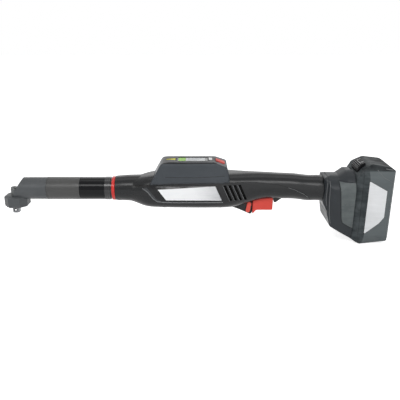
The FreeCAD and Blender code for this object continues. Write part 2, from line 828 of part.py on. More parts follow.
def cooling_fan():
    x0, x1 = motor_end + 4.0, motor_end + 8.5
    hub = ring_x(x0, x1, motor_shaft_radius + 2.2, motor_shaft_radius + seat_gap)
    plate = ring_x(x1 - 1.2, x1, fan_radius, motor_shaft_radius + 1.0)
    blades = []
    for k in range(fan_blades):
        blade = box(x0, x1 - 0.5, motor_shaft_radius + 1.6, fan_radius, -0.5, 0.5)
        blade.rotate(V(0, 0, 0), V(1, 0, 0), 360.0 * k / fan_blades)
        blades.append(blade)
    return fuse([hub, plate] + blades)


def body_section(x, centre, half_width, top, bottom, squareness, inset=0.0):
    """Closed spline round one station; the upper half is squarer where squareness is over 2."""
    points = []
    for k in range(section_points):
        angle = 2 * math.pi * (k + 0.5) / section_points
        c, s = math.cos(angle), math.sin(angle)
        rise = (top - centre if s > 0 else centre - bottom) - inset
        power = 2 / squareness
        y = (half_width - inset) * math.copysign(abs(c) ** power, c)
        z = centre + rise * math.copysign(abs(s) ** power, s)
        points.append(V(x, y, z))
    curve = Part.BSplineCurve()
    curve.interpolate(points, PeriodicFlag=True)
    return Part.Wire(curve.toShape())


def body_solid(inset=0.0, rows=stations):
    wires = [body_section(*row, inset=inset) for row in rows]
    return Part.makeLoft(wires, True, False, False, 3)


def inner_rows():
    """Every other station, run past both ends so that the cavity is open there."""
    rows = list(stations[::2])
    if rows[-1] != stations[-1]:
        rows.append(stations[-1])
    first, last = rows[0], rows[-1]
    rows[0] = (first[0] - 2.0,) + first[1:]
    rows[-1] = (last[0] + 2.0,) + last[1:]
    return rows


def seam_prism(above, gap):
    """Everything above (or below) the seam line, half the seam gap away from it."""
    shift = gap / 2 if above else -gap / 2
    curve = Part.BSplineCurve()
    curve.interpolate([V(x, -80, z + shift) for x, z in seam])
    first, last = seam[0], seam[-1]
    far = 90.0 if above else -90.0
    corners = [V(last[0], -80, last[1] + shift)]
    if above:
        corners += [V(last[0], -80, -90), V(handle_end + 40, -80, -90), V(handle_end + 40, -80, far)]
    else:
        corners += [V(last[0], -80, far)]
    corners += [V(first[0], -80, far), V(first[0], -80, first[1] + shift)]
    edges = [curve.toShape()] + [Part.makeLine(a, b) for a, b in zip(corners, corners[1:])]
    return Part.Face(Part.Wire(edges)).extrude(V(0, 160, 0))


def pod_block(inset=0.0, drop=0.0):
    """The pod's outer form (or its cavity): side outline, cross-section and plan together."""
    knee = 10.0
    side = [
        (pod_foot_front[0] + inset * 1.4, pod_foot_front[1] - drop),
        (pod_front_knee[0] + inset * 0.8, pod_front_knee[1] - inset, knee),
        (pod_deck_front, pod_deck_height - inset),
        (pod_deck_rear - inset * 0.2, pod_deck_height - inset, 6.0),
        (pod_rear_knee[0] - inset * 0.8, pod_rear_knee[1] - inset, 4.0),
        (pod_foot_rear[0] - inset, pod_foot_rear[1] + 6.0),
        (pod_foot_rear[0] - inset, pod_foot_rear[1] - drop),
    ]
    low, high = pod_foot_front[1] - 4, pod_deck_height - inset
    slope = (pod_foot_half_width - pod_deck_half_width) / (pod_deck_height - pod_foot_front[1])
    foot, deck = pod_foot_half_width - inset, pod_deck_half_width - inset
    low_half = foot + slope * 4
    section = [(-low_half, low), (low_half, low), (deck, high, pod_round), (-deck, high, pod_round)]
    front, rear = pod_foot_front[0] + inset, pod_foot_rear[0] - inset
    narrow = pod_front_half_width - inset
    half = [(front, narrow - 4, 3.0), (front + 6, narrow, 8.0), (front + 24, foot, 20.0),
            (rear - 16, foot, 12.0), (rear, foot - 3.5, 3.0)]
    plan = [(x, -y, r) for x, y, r in half] + [(x, y, r) for x, y, r in reversed(half)]
    block = prism_y(side, -60, 60)
    block = block.common(prism_x(section, pod_foot_front[0] - 5, pod_foot_rear[0] + 5))
    return block.common(prism_z(plan, -10, 80))


def nose_block():
    return prism_y(nose_side, -nose_half_width, nose_half_width)


def nose_solid():
    block = nose_block()
    start = nose_side[1][1] + 0.01
    lower = [e for e in block.Edges if e.BoundBox.ZMax < start and e.BoundBox.YLength < 0.01]
    return block.makeFillet(nose_edge_round, lower)


def rear_nose():
    """Small lip under the handle just behind the trigger."""
    return prism_y(rear_nose_side, -rear_nose_half_width, rear_nose_half_width)


def selector_outline(grow=0.0):
    length, width = selector_size[1] + 2 * grow, selector_size[0] + 2 * grow
    corners = [(-width / 2, -length / 2), (width / 2, -length / 2), (width / 2, length / 2),
               (-width / 2, length / 2)]
    angle = math.radians(-selector_tilt)
    turned = [(selector_centre[0] + a * math.cos(angle) - b * math.sin(angle),
               selector_centre[1] + a * math.sin(angle) + b * math.cos(angle), width / 2 - 0.3)
              for a, b in corners]
    return turned


def screw_places():
    return [(224.0, 19.0), (224.0, -19.0), (306.0, 18.5), (306.0, -18.5), (398.0, 0.0), (418.0, 0.0)]


def seam_height(x):
    for (x0, z0), (x1, z1) in zip(seam, seam[1:]):
        if x0 <= x <= x1:
            return z0 + (z1 - z0) * (x - x0) / (x1 - x0)
    return seam[-1][1]


def body_shells():
    """Upper and lower moulded halves, parted along the seam."""
    outer = body_solid().fuse([nose_solid(), rear_nose()])
    cavity = body_solid(wall, inner_rows())
    nose_room = prism_y(nose_cavity, -nose_half_width + wall, nose_half_width - wall)
    motor_room = cyl_x(body_start - 1, motor_end + 12, red_ring_radius - 2.6 + seat_gap)
    shell = outer.cut(cavity).cut(nose_room).cut(motor_room)
    ribs = []
    for x, radius in rib_places:
        ribs.append(ring_x(x, x + rib_width, 40, radius + 0.05).common(outer))
    shell = shell.fuse(ribs)
    top = shell.common(seam_prism(True, seam_gap))
    bottom = shell.common(seam_prism(False, seam_gap))
    posts_top, posts_bottom = [], []
    for x, y in screw_places():
        split = seam_height(x)
        posts_bottom.append(cyl_z(-40, split - seam_gap / 2, boss_radius, x, y).common(cavity))
        if y == 0:
            posts_top.append(cyl_z(split + seam_gap / 2, 40, boss_radius, x, y).common(cavity))
    top = top.cut(pod_block(-0.15, 8.0))
    top = top.fuse(posts_top + [pod_bridge().common(cavity)])
    bottom = bottom.fuse(posts_bottom + [rib.common(cavity) for rib in board_ribs()])
    for x, y in screw_places():
        low = screw_floor(x, y, outer)
        bottom = bottom.cut(cyl_z(-60, 60, screw_radius + 0.1, x, y))
        bottom = bottom.cut(cyl_z(-60, low + 3.0, screw_head_radius + 0.2, x, y))
        top = top.cut(cyl_z(-60, screw_top(x), screw_radius + seat_gap, x, y))
    return top, cut_lower(bottom)


def board_ribs():
    """Two cross ribs of the lower half, slotted for the lower edge of the control board."""
    ribs = []
    slot = board_thickness / 2 + board_gap
    for x in (board_span[0] + board_rib_inset, board_span[1] - board_rib_inset - rib_width):
        rib = box(x, x + rib_width, -40, 40, -60, board_bottom + board_slot_depth)
        ribs.append(rib.cut(box(x - 1, x + rib_width + 1, -slot, slot, board_bottom, 0)))
    return ribs


def screw_floor(x, y, outer):
    column = outer.common(cyl_z(-60, 0, 0.5, x, y))
    return min(vertex.Z for vertex in column.Vertexes)


def screw_top(x):
    return seam_height(x) + 6.0


def pod_bridge():
    """Web of the upper half that runs on below the pod and joins its front and rear parts."""
    x0, x1 = pod_foot_front[0], pod_foot_rear[0]
    low, high = bridge_height
    return fuse([box(x0 - bridge_reach, x0 - 0.3, -40, 40, low, high),
                 box(x1 + 0.3, x1 + bridge_reach, -40, 40, low, high),
                 box(x0 - bridge_reach, x1 + bridge_reach, -bridge_half_width, bridge_half_width, low, high)])


def cut_lower(shape):
    for side in (-1, 1):
        for k in range(vent_count):
            shape = shape.cut(vent_slot(k, side))
    shape = shape.cut(side_plate(0.25, 0.1))
    shape = shape.cut(prism_y(selector_outline(0.25), -20, 20))
    opening = box(trigger_front - part_gap, trigger_rear + part_gap, -trigger_half_width - part_gap,
                  trigger_half_width + part_gap, -60, -6)
    return shape.cut(opening)


def vent_slot(k, side):
    x0, z0 = vent_top
    x1, z1 = vent_bottom
    half = vent_width / 2
    shift = k * vent_pitch
    corners = [(x0 - half + shift, z0), (x0 + half + shift, z0), (x1 + half + shift, z1),
               (x1 - half + shift, z1)]
    near, far = (12.0, 60.0) if side > 0 else (-60.0, -12.0)
    return prism_y(corners, near, far)


def side_plate(grow=0.0, deeper=0.0):
    """Flat slanted plate let into one side of the belly."""
    (ax, az), (bx, bz), (cx, cz), (dx, dz) = plate_points
    corners = [(ax - grow, az + grow, 1.5), (bx + grow, bz + grow, 1.5), (cx + grow, cz - grow, 1.5),
               (dx - grow, dz - grow, 1.5)]
    outer = 40.0 if deeper else plate_seat + plate_thickness
    return prism_y(corners, -outer, -plate_seat + deeper)


def vent_grilles():
    """Louvre inserts that follow the wall behind the slots, one on each side."""
    front, floor, back = (body_solid(wall + depth, inner_rows()) for depth in louvre_depths)
    skin = front.cut(back)
    x0 = vent_top[0] - louvre_edge - 0.8
    x1 = vent_bottom[0] + vent_pitch * (vent_count - 1) + louvre_edge + 0.8
    z0, z1 = vent_bottom[1] - 1.4, vent_top[1] + 0.6
    inserts = []
    for side in (-1, 1):
        low, high = (12.0, 40.0) if side > 0 else (-40.0, -12.0)
        sheet = skin.common(box(x0, x1, low, high, z0, z1))
        for k in range(louvre_count):
            z = z0 + louvre_edge + k * louvre_pitch
            slit = box(x0 + louvre_edge, x1 - louvre_edge, low, high, z, z + louvre_width)
            sheet = sheet.cut(slit.cut(floor))
        inserts.append(sheet)
    return Part.makeCompound(inserts)


def electronics_pod():
    above = seam_prism(True, seam_gap)
    shape = pod_block(0.0, 8.0).common(above)
    shape = shape.cut(pod_block(pod_wall, 12.0))
    room = pod_block(pod_wall / 2, 8.0).common(above)
    posts = [cyl_z(seam_height(x) + seam_gap / 2, 80, boss_radius, x, y).common(room)
             for x, y in screw_places() if y]
    shape = shape.fuse(posts)
    for x, y in screw_places():
        shape = shape.cut(cyl_z(-10, screw_top(x), screw_radius + seat_gap, x, y))
    half, top = bridge_half_width + part_gap, bridge_height[1] + part_gap
    shape = shape.cut(box(pod_foot_front[0] - 20, pod_foot_rear[0] + 20, -half, half, -10, top))
    for tool in deck_openings():
        shape = shape.cut(tool)
    return shape


def deck_rectangle(x0, x1, half, z0, z1, radius, y=0.0):
    corners = [(x0, y - half, radius), (x1, y - half, radius), (x1, y + half, radius),
               (x0, y + half, radius)]
    return prism_z(corners, z0, z1)


def arrow_prism(grow, z0, z1):
    x0, x1 = arrow_span
    half = arrow_half_width
    return prism_z([(x0 - grow * 2, 0.0), (x1 + grow, -half - grow), (x1 + grow, half + grow)], z0, z1)


def slope_frame():
    """Middle and lean of the pod's rear slope, where the red key sits."""
    (x0, z0), (x1, z1) = (pod_deck_rear, pod_deck_height), pod_rear_knee
    return (x0 + x1) / 2 - 0.3, (z0 + z1) / 2, math.degrees(math.atan2(z0 - z1, x1 - x0))


def on_slope(shape):
    x, z, lean = slope_frame()
    shape.rotate(V(0, 0, 0), V(0, 1, 0), lean)
    shape.translate(V(x, 0, z))
    return shape


def red_key_block(grow, z0, z1):
    length, width = red_key_size
    half = length / 2 + grow
    return on_slope(deck_rectangle(-half, half, width / 2 + grow, z0, z1, red_key_round))


def white_key_block(grow, z0, z1):
    length, width = white_key_size
    return deck_rectangle(white_key_x - length / 2 - grow, white_key_x + length / 2 + grow,
                          width / 2 + grow, z0, z1, 1.2)


def deck_openings():
    x0, x1 = display_span
    z = pod_deck_height
    return [
        deck_rectangle(x0 - 0.1, x1 + 0.1, display_half_width + 0.1, z - display_recess - display_thickness,
                       z + 5, 1.0),
        deck_rectangle(x0 + 2, x1 - 2, display_half_width - 2, z - 8, z + 5, 1.0),
        arrow_prism(0.1, z - 6, z + 5),
        white_key_block(0.25, z - 8, z + 5),
        red_key_block(0.25, -8, 8),
    ]


def display_window():
    x0, x1 = display_span
    top = pod_deck_height - display_recess
    return deck_rectangle(x0, x1, display_half_width, top - display_thickness + 0.05, top, 1.0)


def display_board():
    """Circuit board with the screen module and the white key's switch on it."""
    top = pod_deck_height - pod_wall - pod_board_drop
    x0, x1 = pod_board_span
    board = deck_rectangle(x0, x1, pod_board_half_width, top - pod_board_thickness, top, 2.0)
    half = display_half_width - screen_margin
    screen = box(display_span[0] + screen_margin, display_span[1] - screen_margin, -half, half, top - 0.5,
                 pod_deck_height - display_recess - display_thickness - part_gap)
    lamp = cyl_z(top - 0.5, pod_deck_height - pod_wall - 1.2, pod_post_radius, arrow_span[1] - 3.5)
    switch = box(white_key_x - key_switch_half, white_key_x + key_switch_half, -key_switch_half,
                 key_switch_half, top - 0.5, key_foot() - key_travel - key_switch_gap)
    x, y = pod_board_posts
    posts = [cyl_z(top - 1, pod_deck_height - pod_wall - 0.1, pod_post_radius, x, side) for side in (-y, y)]
    return fuse([board, screen, lamp, switch] + posts)


def key_foot():
    return pod_deck_height - pod_wall - 1.4


def white_key():
    z = pod_deck_height
    button = white_key_block(0.0, key_foot(), z + key_rise)
    lip = white_key_block(key_lip, key_foot(), z - pod_wall - part_gap)
    return button.fuse([lip]).removeSplitter()


def red_key():
    """Rocker on the slope; its foot is wider than its opening, so that it can't fall out."""
    length, width = red_key_size
    button = red_key_block(0.0, -pod_wall - red_key_foot, key_rise + 0.4)
    half = length / 2 - red_key_round
    lip = on_slope(deck_rectangle(-half, half, width / 2 + red_key_lip, -pod_wall - red_key_foot,
                                  -pod_wall - 0.4, 1.0))
    return button.fuse([lip]).removeSplitter()


def red_key_switch():
    """Dome switch on its own small board under the red key."""
    length, half, drop, thickness = red_board
    low = -pod_wall - drop
    board = on_slope(deck_rectangle(-length, length, half, low, low + thickness, 1.0))
    dome = on_slope(cyl_z(low + thickness - 0.2, -pod_wall - red_key_foot - key_travel - key_switch_gap,
                          red_dome_radius))
    return board.fuse([dome]).removeSplitter()


def arrow_light():
    return arrow_prism(0.0, pod_deck_height - pod_wall, pod_deck_height + 0.1)


def trigger():
    """Thumb-wide bar with a flared front corner; its flange keeps it in the handle."""
    side = [
        (trigger_front, trigger_beak, 0.6), (trigger_front + 2.2, trigger_beak + 3.6, 2.0),
        (trigger_front + 5.6, trigger_bottom, 5.0),
        (trigger_rear - 0.6, trigger_bottom, 1.2), (trigger_rear, -12.0), (trigger_front, -12.0),
    ]
    half = trigger_half_width
    plan = [(trigger_front, -half, 1.0), (trigger_rear, -half, 3.0), (trigger_rear, half, 3.0),
            (trigger_front, half, 1.0)]
    block = prism_y(side, -half, half).common(prism_z(plan, -40, 0))
    flange = box(trigger_front + 1.0, trigger_rear - 1.0, -trigger_flange_half_width,
                 trigger_flange_half_width, trigger_flange_top - 1.6, trigger_flange_top)
    stem = prism_z(plan, -12.5, trigger_flange_top)
    return fuse([block, stem, flange])


def trigger_spring():
    """Bent leaf between the switch and the trigger's flange."""
    low, high, leaf = trigger_flange_top, switch_bottom, leaf_thickness
    front, rear = spring_x - leaf_half_length, spring_x + leaf_half_length
    bend = [(front, high - leaf), (rear - 2, high - leaf), (rear - 0.6, high - 1.6, 1.0),
            (front + 0.4, low + leaf + 0.1), (front + 0.4, low + 0.05), (rear, low + 0.05), (rear, low + leaf),
            (front + 3.4, low + leaf + 0.1), (rear + 0.1, high - 1.4, 1.2), (rear - 1.6, high), (front, high)]
    return prism_y(bend, -leaf_half_width, leaf_half_width)


def trigger_switch():
    x0, x1 = switch_span
    top, tab = switch_bottom + switch_height, switch_tab_half_width
    body = deck_rectangle(x0, x1, switch_half_width, switch_bottom, top, 1.2)
    plunger = cyl_z(trigger_flange_top + trigger_travel + part_gap, switch_bottom + 1, plunger_radius, plunger_x)
    plate = box(x0 - switch_tab_reach, x1 + switch_tab_reach, -tab, tab, top, top + switch_tab_height)
    posts = [cyl_z(top + 1, post_top(x), switch_post_radius, x) for x in (x0 - 0.2, x1 + 0.1)]
    return fuse([body, plunger, plate] + posts)


def post_top(x):
    rows = [r for r in stations if r[0] <= x]
    return rows[-1][3] - wall - 1.2


def direction_selector():
    return prism_y(selector_outline(), -selector_half_length, selector_half_length)


def adaptor_side(inset=0.0):
    high, lower = adaptor_half_width + 1.0, [(x + inset, z) + tuple(r) for x, z, *r in adaptor_front_line]
    x, z, r = lower[-1]
    lower[-1] = (x, z + inset, r)
    brow = [(x + inset, z - inset) + tuple(r) for x, z, *r in adaptor_brow]
    return [(adaptor_end, high), (adaptor_end, adaptor_rear_bottom + inset * 1.2)] + lower[::-1] + brow + [
        (adaptor_step[0], high)]


def adaptor_plan(inset=0.0):
    x, y = adaptor_shoulder
    half = [(adaptor_start + inset, adaptor_nose_half_width - inset, adaptor_plan_round),
            (adaptor_start + x, y - inset, adaptor_plan_round), (adaptor_end, adaptor_half_width - inset)]
    return [(x, -y) + tuple(r) for x, y, *r in half] + [(x, y) + tuple(r) for x, y, *r in reversed(half)]


def adaptor_arch(which, inset=0.0):
    """Cross-section in front of the step (0) or behind it (1): an arch that narrows at its foot."""
    side, top, r = adaptor_half_width - inset, adaptor_tops[which] - inset, adaptor_round - inset
    foot, (low, low_round) = adaptor_foot[0] - inset, adaptor_foot_round
    half = [(foot, adaptor_foot[1]), (side, low, low_round), (side, top, r)]
    return [(-y, z) + tuple(r) for y, z, *r in reversed(half)] + half


def adaptor_block(inset=0.0):
    x0, x1 = adaptor_step
    wires = [rounded_face(adaptor_arch(k, inset), lambda p, x=x: V(x, p.x, p.y)).OuterWire
             for k, x in enumerate(adaptor_step)]
    shell = fuse([prism_x(adaptor_arch(0, inset), adaptor_start - 5, x0), Part.makeLoft(wires, True, True),
                  prism_x(adaptor_arch(1, inset), x1, adaptor_end + 5)])
    block = prism_y(adaptor_side(inset), -60, 60).common(prism_z(adaptor_plan(inset), -120, 120))
    return block.common(shell)


def adaptor_panels(shell):
    """Raised panel on each side at the rear, with a narrow groove round it."""
    panel = [point + (panel_round,) for point in panel_points]
    grown = [(x - panel_groove, z + math.copysign(panel_groove, z), panel_round) for x, z in panel_points]
    raised, sunk = adaptor_block(-panel_rise), adaptor_block(panel_rise)
    for y0, y1 in ((-60, -12), (12, 60)):
        shell = shell.cut(prism_y(grown, y0, y1).cut(sunk))
        shell = shell.fuse(prism_y(panel, y0, y1).common(raised.cut(adaptor_block(adaptor_wall / 2))))
    return shell


def rail_profile(grow=0.0):
    """T-shaped rail seen from above, standing on the adaptor's rear face."""
    neck, lip = rail_half_width - rail_lip + grow, rail_half_width + grow
    back = adaptor_end - 0.5
    step = adaptor_end + rail_depth * 0.5 - grow
    face = adaptor_end + rail_depth + grow
    return [(back, -neck), (step, -neck), (step, -lip), (face, -lip), (face, lip), (step, lip),
            (step, neck), (back, neck)]


def battery_adaptor():
    """Hollow foot of the handle with the T-rail and the terminal window."""
    shell = adaptor_block()
    room = adaptor_block(adaptor_wall).common(box(440, adaptor_end - adaptor_wall, -60, 60, -90, 90))
    shell = shell.cut(room)
    groove = box(adaptor_start + foot_groove[0], adaptor_start + foot_groove[1], -60, 60, -90, 90)
    shell = shell.cut(adaptor_block().cut(adaptor_block(foot_groove_depth)).common(groove))
    shell = adaptor_panels(shell).cut(cyl_x(440, adaptor_start + foot_bore_depth, foot_bore_radius))
    rail = prism_z(rail_profile(), rail_bottom, rail_top)
    half, low, high = terminal_window
    shell = shell.fuse([rail]).cut(box(adaptor_end - 6, adaptor_end + 20, -half, half, low, high))
    depth, half, low = hook_groove
    return shell.cut(box(adaptor_end - depth, adaptor_end + rail_depth, -half, half, low, 50))


def terminal_block():
    """Contact block fixed inside the adaptor, its blades standing in the rail's window."""
    (half, low, high), (depth, base_half, rim) = terminal_window, terminal_base
    base = box(adaptor_end - depth, adaptor_end - adaptor_wall - seat_gap, -base_half, base_half,
               low - rim, high + rim)
    core = box(adaptor_end - 5.0, adaptor_end + 0.6, -half + terminal_gap, half - terminal_gap,
               low + terminal_gap, high - terminal_gap)
    reach, thick, tall = blade_size
    blades = [box(adaptor_end, adaptor_end + reach, y - thick / 2, y + thick / 2,
                  blade_bottom, blade_bottom + tall) for y in blade_places]
    return fuse([base, core] + blades)


def battery_side(inset=0.0):
    """Side outline, drawn in by `inset`; its corners stay where they are lengthways."""
    keel = [(x, z + inset) + tuple(r) for x, z, *r in battery_keel]
    crown = [(x, z - inset, r) for x, z, r in battery_crown]
    front, rear = battery_front + inset, battery_rear - inset
    return ([(front, battery_toe + inset * 1.1)] + keel
            + [(rear, battery_heel[0] + inset, battery_heel[1]), (rear, battery_nape[0] - inset, battery_nape[1])]
            + crown + [(front, battery_lip - inset * 0.6)])


def battery_plan(inset=0.0):
    side = battery_half_width - inset
    half = [(battery_front + inset, battery_front_half_width - inset * 0.6),
            (battery_chamfer_end, side, 3.0),
            (battery_rear - battery_rear_corner[0], side, battery_rear_corner[1]),
            (battery_rear - inset, side - battery_rear_flat[0], battery_rear_flat[1])]
    return [(x, -y) + tuple(r) for x, y, *r in half] + [(x, y) + tuple(r) for x, y, *r in reversed(half)]


def battery_cross(inset=0.0):
    """Seen from the front: the top shoulders slope and the bottom edges are rounded."""
    side, low, high = battery_half_width - inset, battery_section[0] + inset, battery_section[1] - inset
    low_in, low_z, low_round = battery_low_corner
    high_in, high_z, high_round = battery_high_corner
    half = [(side - low_in, low, battery_edge_round), (side, low_z, low_round), (side, high_z, high_round),
            (side - high_in, high, battery_edge_round)]
    return [(-y, z, r) for y, z, r in reversed(half)] + half


def battery_block(inset=0.0):
    block = prism_y(battery_side(inset), -60, 60)
    block = block.common(prism_z(battery_plan(inset), -120, 120))
    return block.common(prism_x(battery_cross(inset), 480, 580))


def battery_case():
    """Moulded pack: a tub open at the front."""
    room = battery_block(battery_wall).common(box(front_plate_end, 600, -60, 60, -90, 90))
    tub = battery_block().common(box(front_plate_end, 600, -60, 60, -90, 90)).cut(room)
    tub = tub.cut(latch_pocket())
    return tub.cut(battery_label(0.2, True))


def battery_front_cover():
    """Front of the pack with the rail slot, which is open at its lower end."""
    cover = battery_block().common(box(480, front_plate_end - 0.1, -60, 60, -90, 90))
    slot = prism_z(rail_profile(part_gap), -90, rail_top + part_gap)
    cover = cover.cut(slot)
    x, half, low, high = latch_slot
    return cover.cut(latch_pocket()).cut(box(490, x, -half, half, low, high))


def latch_pocket():
    half = latch_half_width + latch_gap
    return box(480, latch_side[3][0] + latch_gap, -half, half, latch_pocket_floor, 60)


def battery_latch():
    """Ribbed button on the front edge of the pack's top."""
    shape = prism_y(latch_side, -latch_half_width, latch_half_width)
    dx, dz = latch_rib_step
    for k in range(latch_rib_count):
        first, *ends, last = [(x, z + k * dz) for x, z in latch_rib]
        rib = [first] + [(x + k * dx, z) for x, z in ends] + [last]
        shape = shape.cut(prism_y(rib, -20, 20))
    return shape


def battery_cells():
    cells = []
    for row in range(cell_rows):
        for column in range(cell_columns):
            x = cell_first[0] + column * cell_pitch
            z = cell_first[1] + row * cell_pitch
            cells.append(cyl_y(-cell_length / 2, cell_length / 2, cell_radius, x, z))
    return Part.makeCompound(cells)


def cell_holder():
    """Two end frames that hold the ten cells, and the board in front of them."""
    frames = []
    x0, x1 = cell_first[0] - cell_pitch / 2, cell_first[0] + cell_pitch * (cell_columns - 0.5)
    z0, z1 = cell_first[1] - cell_pitch / 2, cell_first[1] + cell_pitch * (cell_rows - 0.5)
    for y in holder_places:
        frame = box(x0, x1, y, y + holder_thickness, z0, z1)
        for row in range(cell_rows):
            for column in range(cell_columns):
                x, z = cell_first[0] + column * cell_pitch, cell_first[1] + row * cell_pitch
                frame = frame.cut(cyl_y(y - 1, y + holder_thickness + 1, cell_radius + seat_gap, x, z))
        frames.append(frame)
    return Part.makeCompound(frames)


def battery_label(grow=0.0, pocket=False):
    corners = [(x + grow * dx, z + grow * dz, r) for (x, z, r), (dx, dz) in zip(label_points, label_grow)]
    low, high = battery_half_width - label_sink, battery_half_width + (5.0 if pocket else label_rise)
    return prism_y(corners, -high, -low)


def control_board():
    """Power and control electronics lengthways in the belly, behind the motor."""
    board = box(board_span[0], board_span[1], -board_thickness / 2, board_thickness / 2,
                board_bottom, board_top)
    (x0, y0, z0), (length, depth, height) = component_first, component_size
    parts = [box(x0 + component_pitch * k, x0 + length + component_pitch * k, y0, y0 + depth,
                 z0 + component_climb * k, z0 + height + component_climb * k) for k in range(component_count)]
    x, z = capacitor_place
    capacitors = [cyl_y(-capacitor_length, 0.0, capacitor_radius, x + component_pitch * k, z)
                  for k in range(capacitor_count)]
    return fuse([board] + parts + capacitors)


def red_ring():
    ring = ring_x(red_ring_start, red_ring_end, red_ring_radius, red_ring_radius - 2.6 + seat_gap)
    edges = [e for e in ring.Edges if abs(e.BoundBox.YMax - red_ring_radius) < 0.1]
    return ring.makeChamfer(0.5, edges)


def housing_screws():
    outer = body_solid()
    screws = []
    for x, y in screw_places():
        low = screw_floor(x, y, outer) + 3.0
        head = cyl_z(low - 2.0, low, screw_head_radius, x, y).cut(hexagon(2.5, low - 3, low - 0.8, x, y))
        screws.append(head.fuse(cyl_z(low - 0.1, screw_top(x) - 0.5, screw_radius, x, y)))
    return Part.makeCompound(screws)


def all_pieces():
    tube, sleeve, flange = tube_sections()
    can, stator, bell = motor_pieces()
    upper, lower = body_shells()
    bearing_main = at(bearing(main_bearing_radius, spindle_journal_radius + seat_gap,
                              main_bearing_span[1] - main_bearing_span[0]), 0, 0, main_bearing_span[0])
    bearing_transfer = at(bearing(transfer_bearing_radius, transfer_neck_radius + seat_gap,
                                  transfer_bearing_span[1] - transfer_bearing_span[0]),
                          transfer_x, 0, transfer_bearing_span[0])
    pinion_bearing = bearing(pinion_bearing_radius, shaft_radius + seat_gap, pinion_bearing_width)
    motor_bearing = bearing(motor_bearing_radius, motor_shaft_radius + seat_gap, motor_bearing_width)
    front_end = front_bearing_start + pinion_bearing_width
    pieces = {
        "output_spindle": output_spindle(),
        "detent_ball": detent_ball(),
        "detent_spring": detent_spring(),
        "output_gear": output_gear(),
        "spindle_bearing": bearing_main,
        "angle_head_housing": angle_head_housing(),
        "head_base_plate": head_base_plate(),
        "base_plate_screws": base_plate_screws(),
        "head_top_cap": head_top_cap(),
        "transfer_shaft": transfer_shaft(),
        "transfer_bearing": bearing_transfer,
        "crown_gear": crown_gear(),
        "bevel_pinion": bevel_pinion(),
        "pinion_bearings": Part.makeCompound([
            along_x(pinion_bearing, front_bearing_start), along_x(pinion_bearing, rear_bearing_start)]),
        "bearing_spacer": ring_x(front_end, rear_bearing_start, pinion_bearing_radius,
                                 pinion_bearing_radius - 1.6),
        "gearbox_tube": tube,
        "ring_gear": ring_gear(),
        "planet_carrier": planet_carrier(),
        "planet_pins": planet_pins(),
        "drive_shaft": drive_shaft(),
        "shaft_bearing": along_x(bearing(shaft_bearing_radius, drive_shaft_radius + seat_gap, 3.5),
                                 transducer_flange[0] + 0.2),
        "torque_transducer": torque_transducer(),
        "transducer_sleeve": sleeve,
        "motor_flange": flange,
        "union_collar": union_collar(),
        "red_ring": red_ring(),
        "shaft_coupling": shaft_coupling(),
        "motor_can": can,
        "motor_stator": stator,
        "motor_end_bell": bell,
        "motor_rotor": rotor(),
        "motor_bearings": Part.makeCompound([
            along_x(motor_bearing, motor_start - 1.5), along_x(motor_bearing, motor_end - 1.5)]),
        "cooling_fan": cooling_fan(),
        "housing_upper": upper,
        "housing_lower": lower,
        "housing_screws": housing_screws(),
        "electronics_pod": electronics_pod(),
        "display_window": display_window(),
        "pod_boards": Part.makeCompound([display_board(), red_key_switch()]),
        "arrow_light": arrow_light(),
        "white_key": white_key(),
        "red_key": red_key(),
        "side_plate": side_plate(),
        "vent_grilles": vent_grilles(),
        "control_board": control_board(),
        "trigger": trigger(),
        "trigger_spring": trigger_spring(),
        "trigger_switch": trigger_switch(),
        "direction_selector": direction_selector(),
        "battery_adaptor": battery_adaptor(),
        "terminal_block": terminal_block(),
        "battery_case": battery_case(),
        "battery_front_cover": battery_front_cover(),
        "battery_cells": battery_cells(),
        "cell_holder": cell_holder(),
        "battery_latch": battery_latch(),
        "battery_label": battery_label(),
    }
    for k, name in enumerate(("planet_gear_a", "planet_gear_b", "planet_gear_c")):
        pieces[name] = planet_gear(k)
    return pieces


def main():
    os.makedirs("parts", exist_ok=True)
    for name, shape in all_pieces().items():
        raised = at(shape, 0, 0, axis_height)
        raised.exportStep("parts/" + name + ".step")


main()
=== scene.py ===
"""Looks of the cordless angle nutrunner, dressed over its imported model.

Lengths are millimetres about the tool's main axis, which ``spot`` turns into metres of the shared frame. The
studio's places are in metres.
"""

import logging
import math
from dataclasses import dataclass
from enum import Enum
from typing import Any, Callable, Optional, Sequence

import bmesh
import bpy
from mathutils import Matrix, Vector
from mathutils.bvhtree import BVHTree


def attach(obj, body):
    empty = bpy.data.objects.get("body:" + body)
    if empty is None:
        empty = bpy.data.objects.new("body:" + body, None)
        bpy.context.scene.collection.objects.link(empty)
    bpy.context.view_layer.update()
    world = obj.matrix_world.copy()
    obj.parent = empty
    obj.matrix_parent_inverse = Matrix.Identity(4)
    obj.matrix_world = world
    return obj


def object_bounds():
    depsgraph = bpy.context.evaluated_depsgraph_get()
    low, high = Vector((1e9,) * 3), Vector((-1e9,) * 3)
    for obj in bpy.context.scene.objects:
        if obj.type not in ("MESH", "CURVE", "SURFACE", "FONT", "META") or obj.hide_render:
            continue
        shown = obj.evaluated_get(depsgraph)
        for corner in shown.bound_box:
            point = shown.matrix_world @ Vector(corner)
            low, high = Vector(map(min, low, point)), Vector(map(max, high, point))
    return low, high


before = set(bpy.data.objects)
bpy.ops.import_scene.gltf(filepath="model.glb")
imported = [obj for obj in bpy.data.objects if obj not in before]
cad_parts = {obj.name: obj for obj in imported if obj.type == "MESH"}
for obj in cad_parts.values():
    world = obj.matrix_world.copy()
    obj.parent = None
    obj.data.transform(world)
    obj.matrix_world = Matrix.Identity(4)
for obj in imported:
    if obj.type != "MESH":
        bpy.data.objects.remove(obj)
CAD_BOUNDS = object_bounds()
LOG = logging.getLogger("nutrunner")

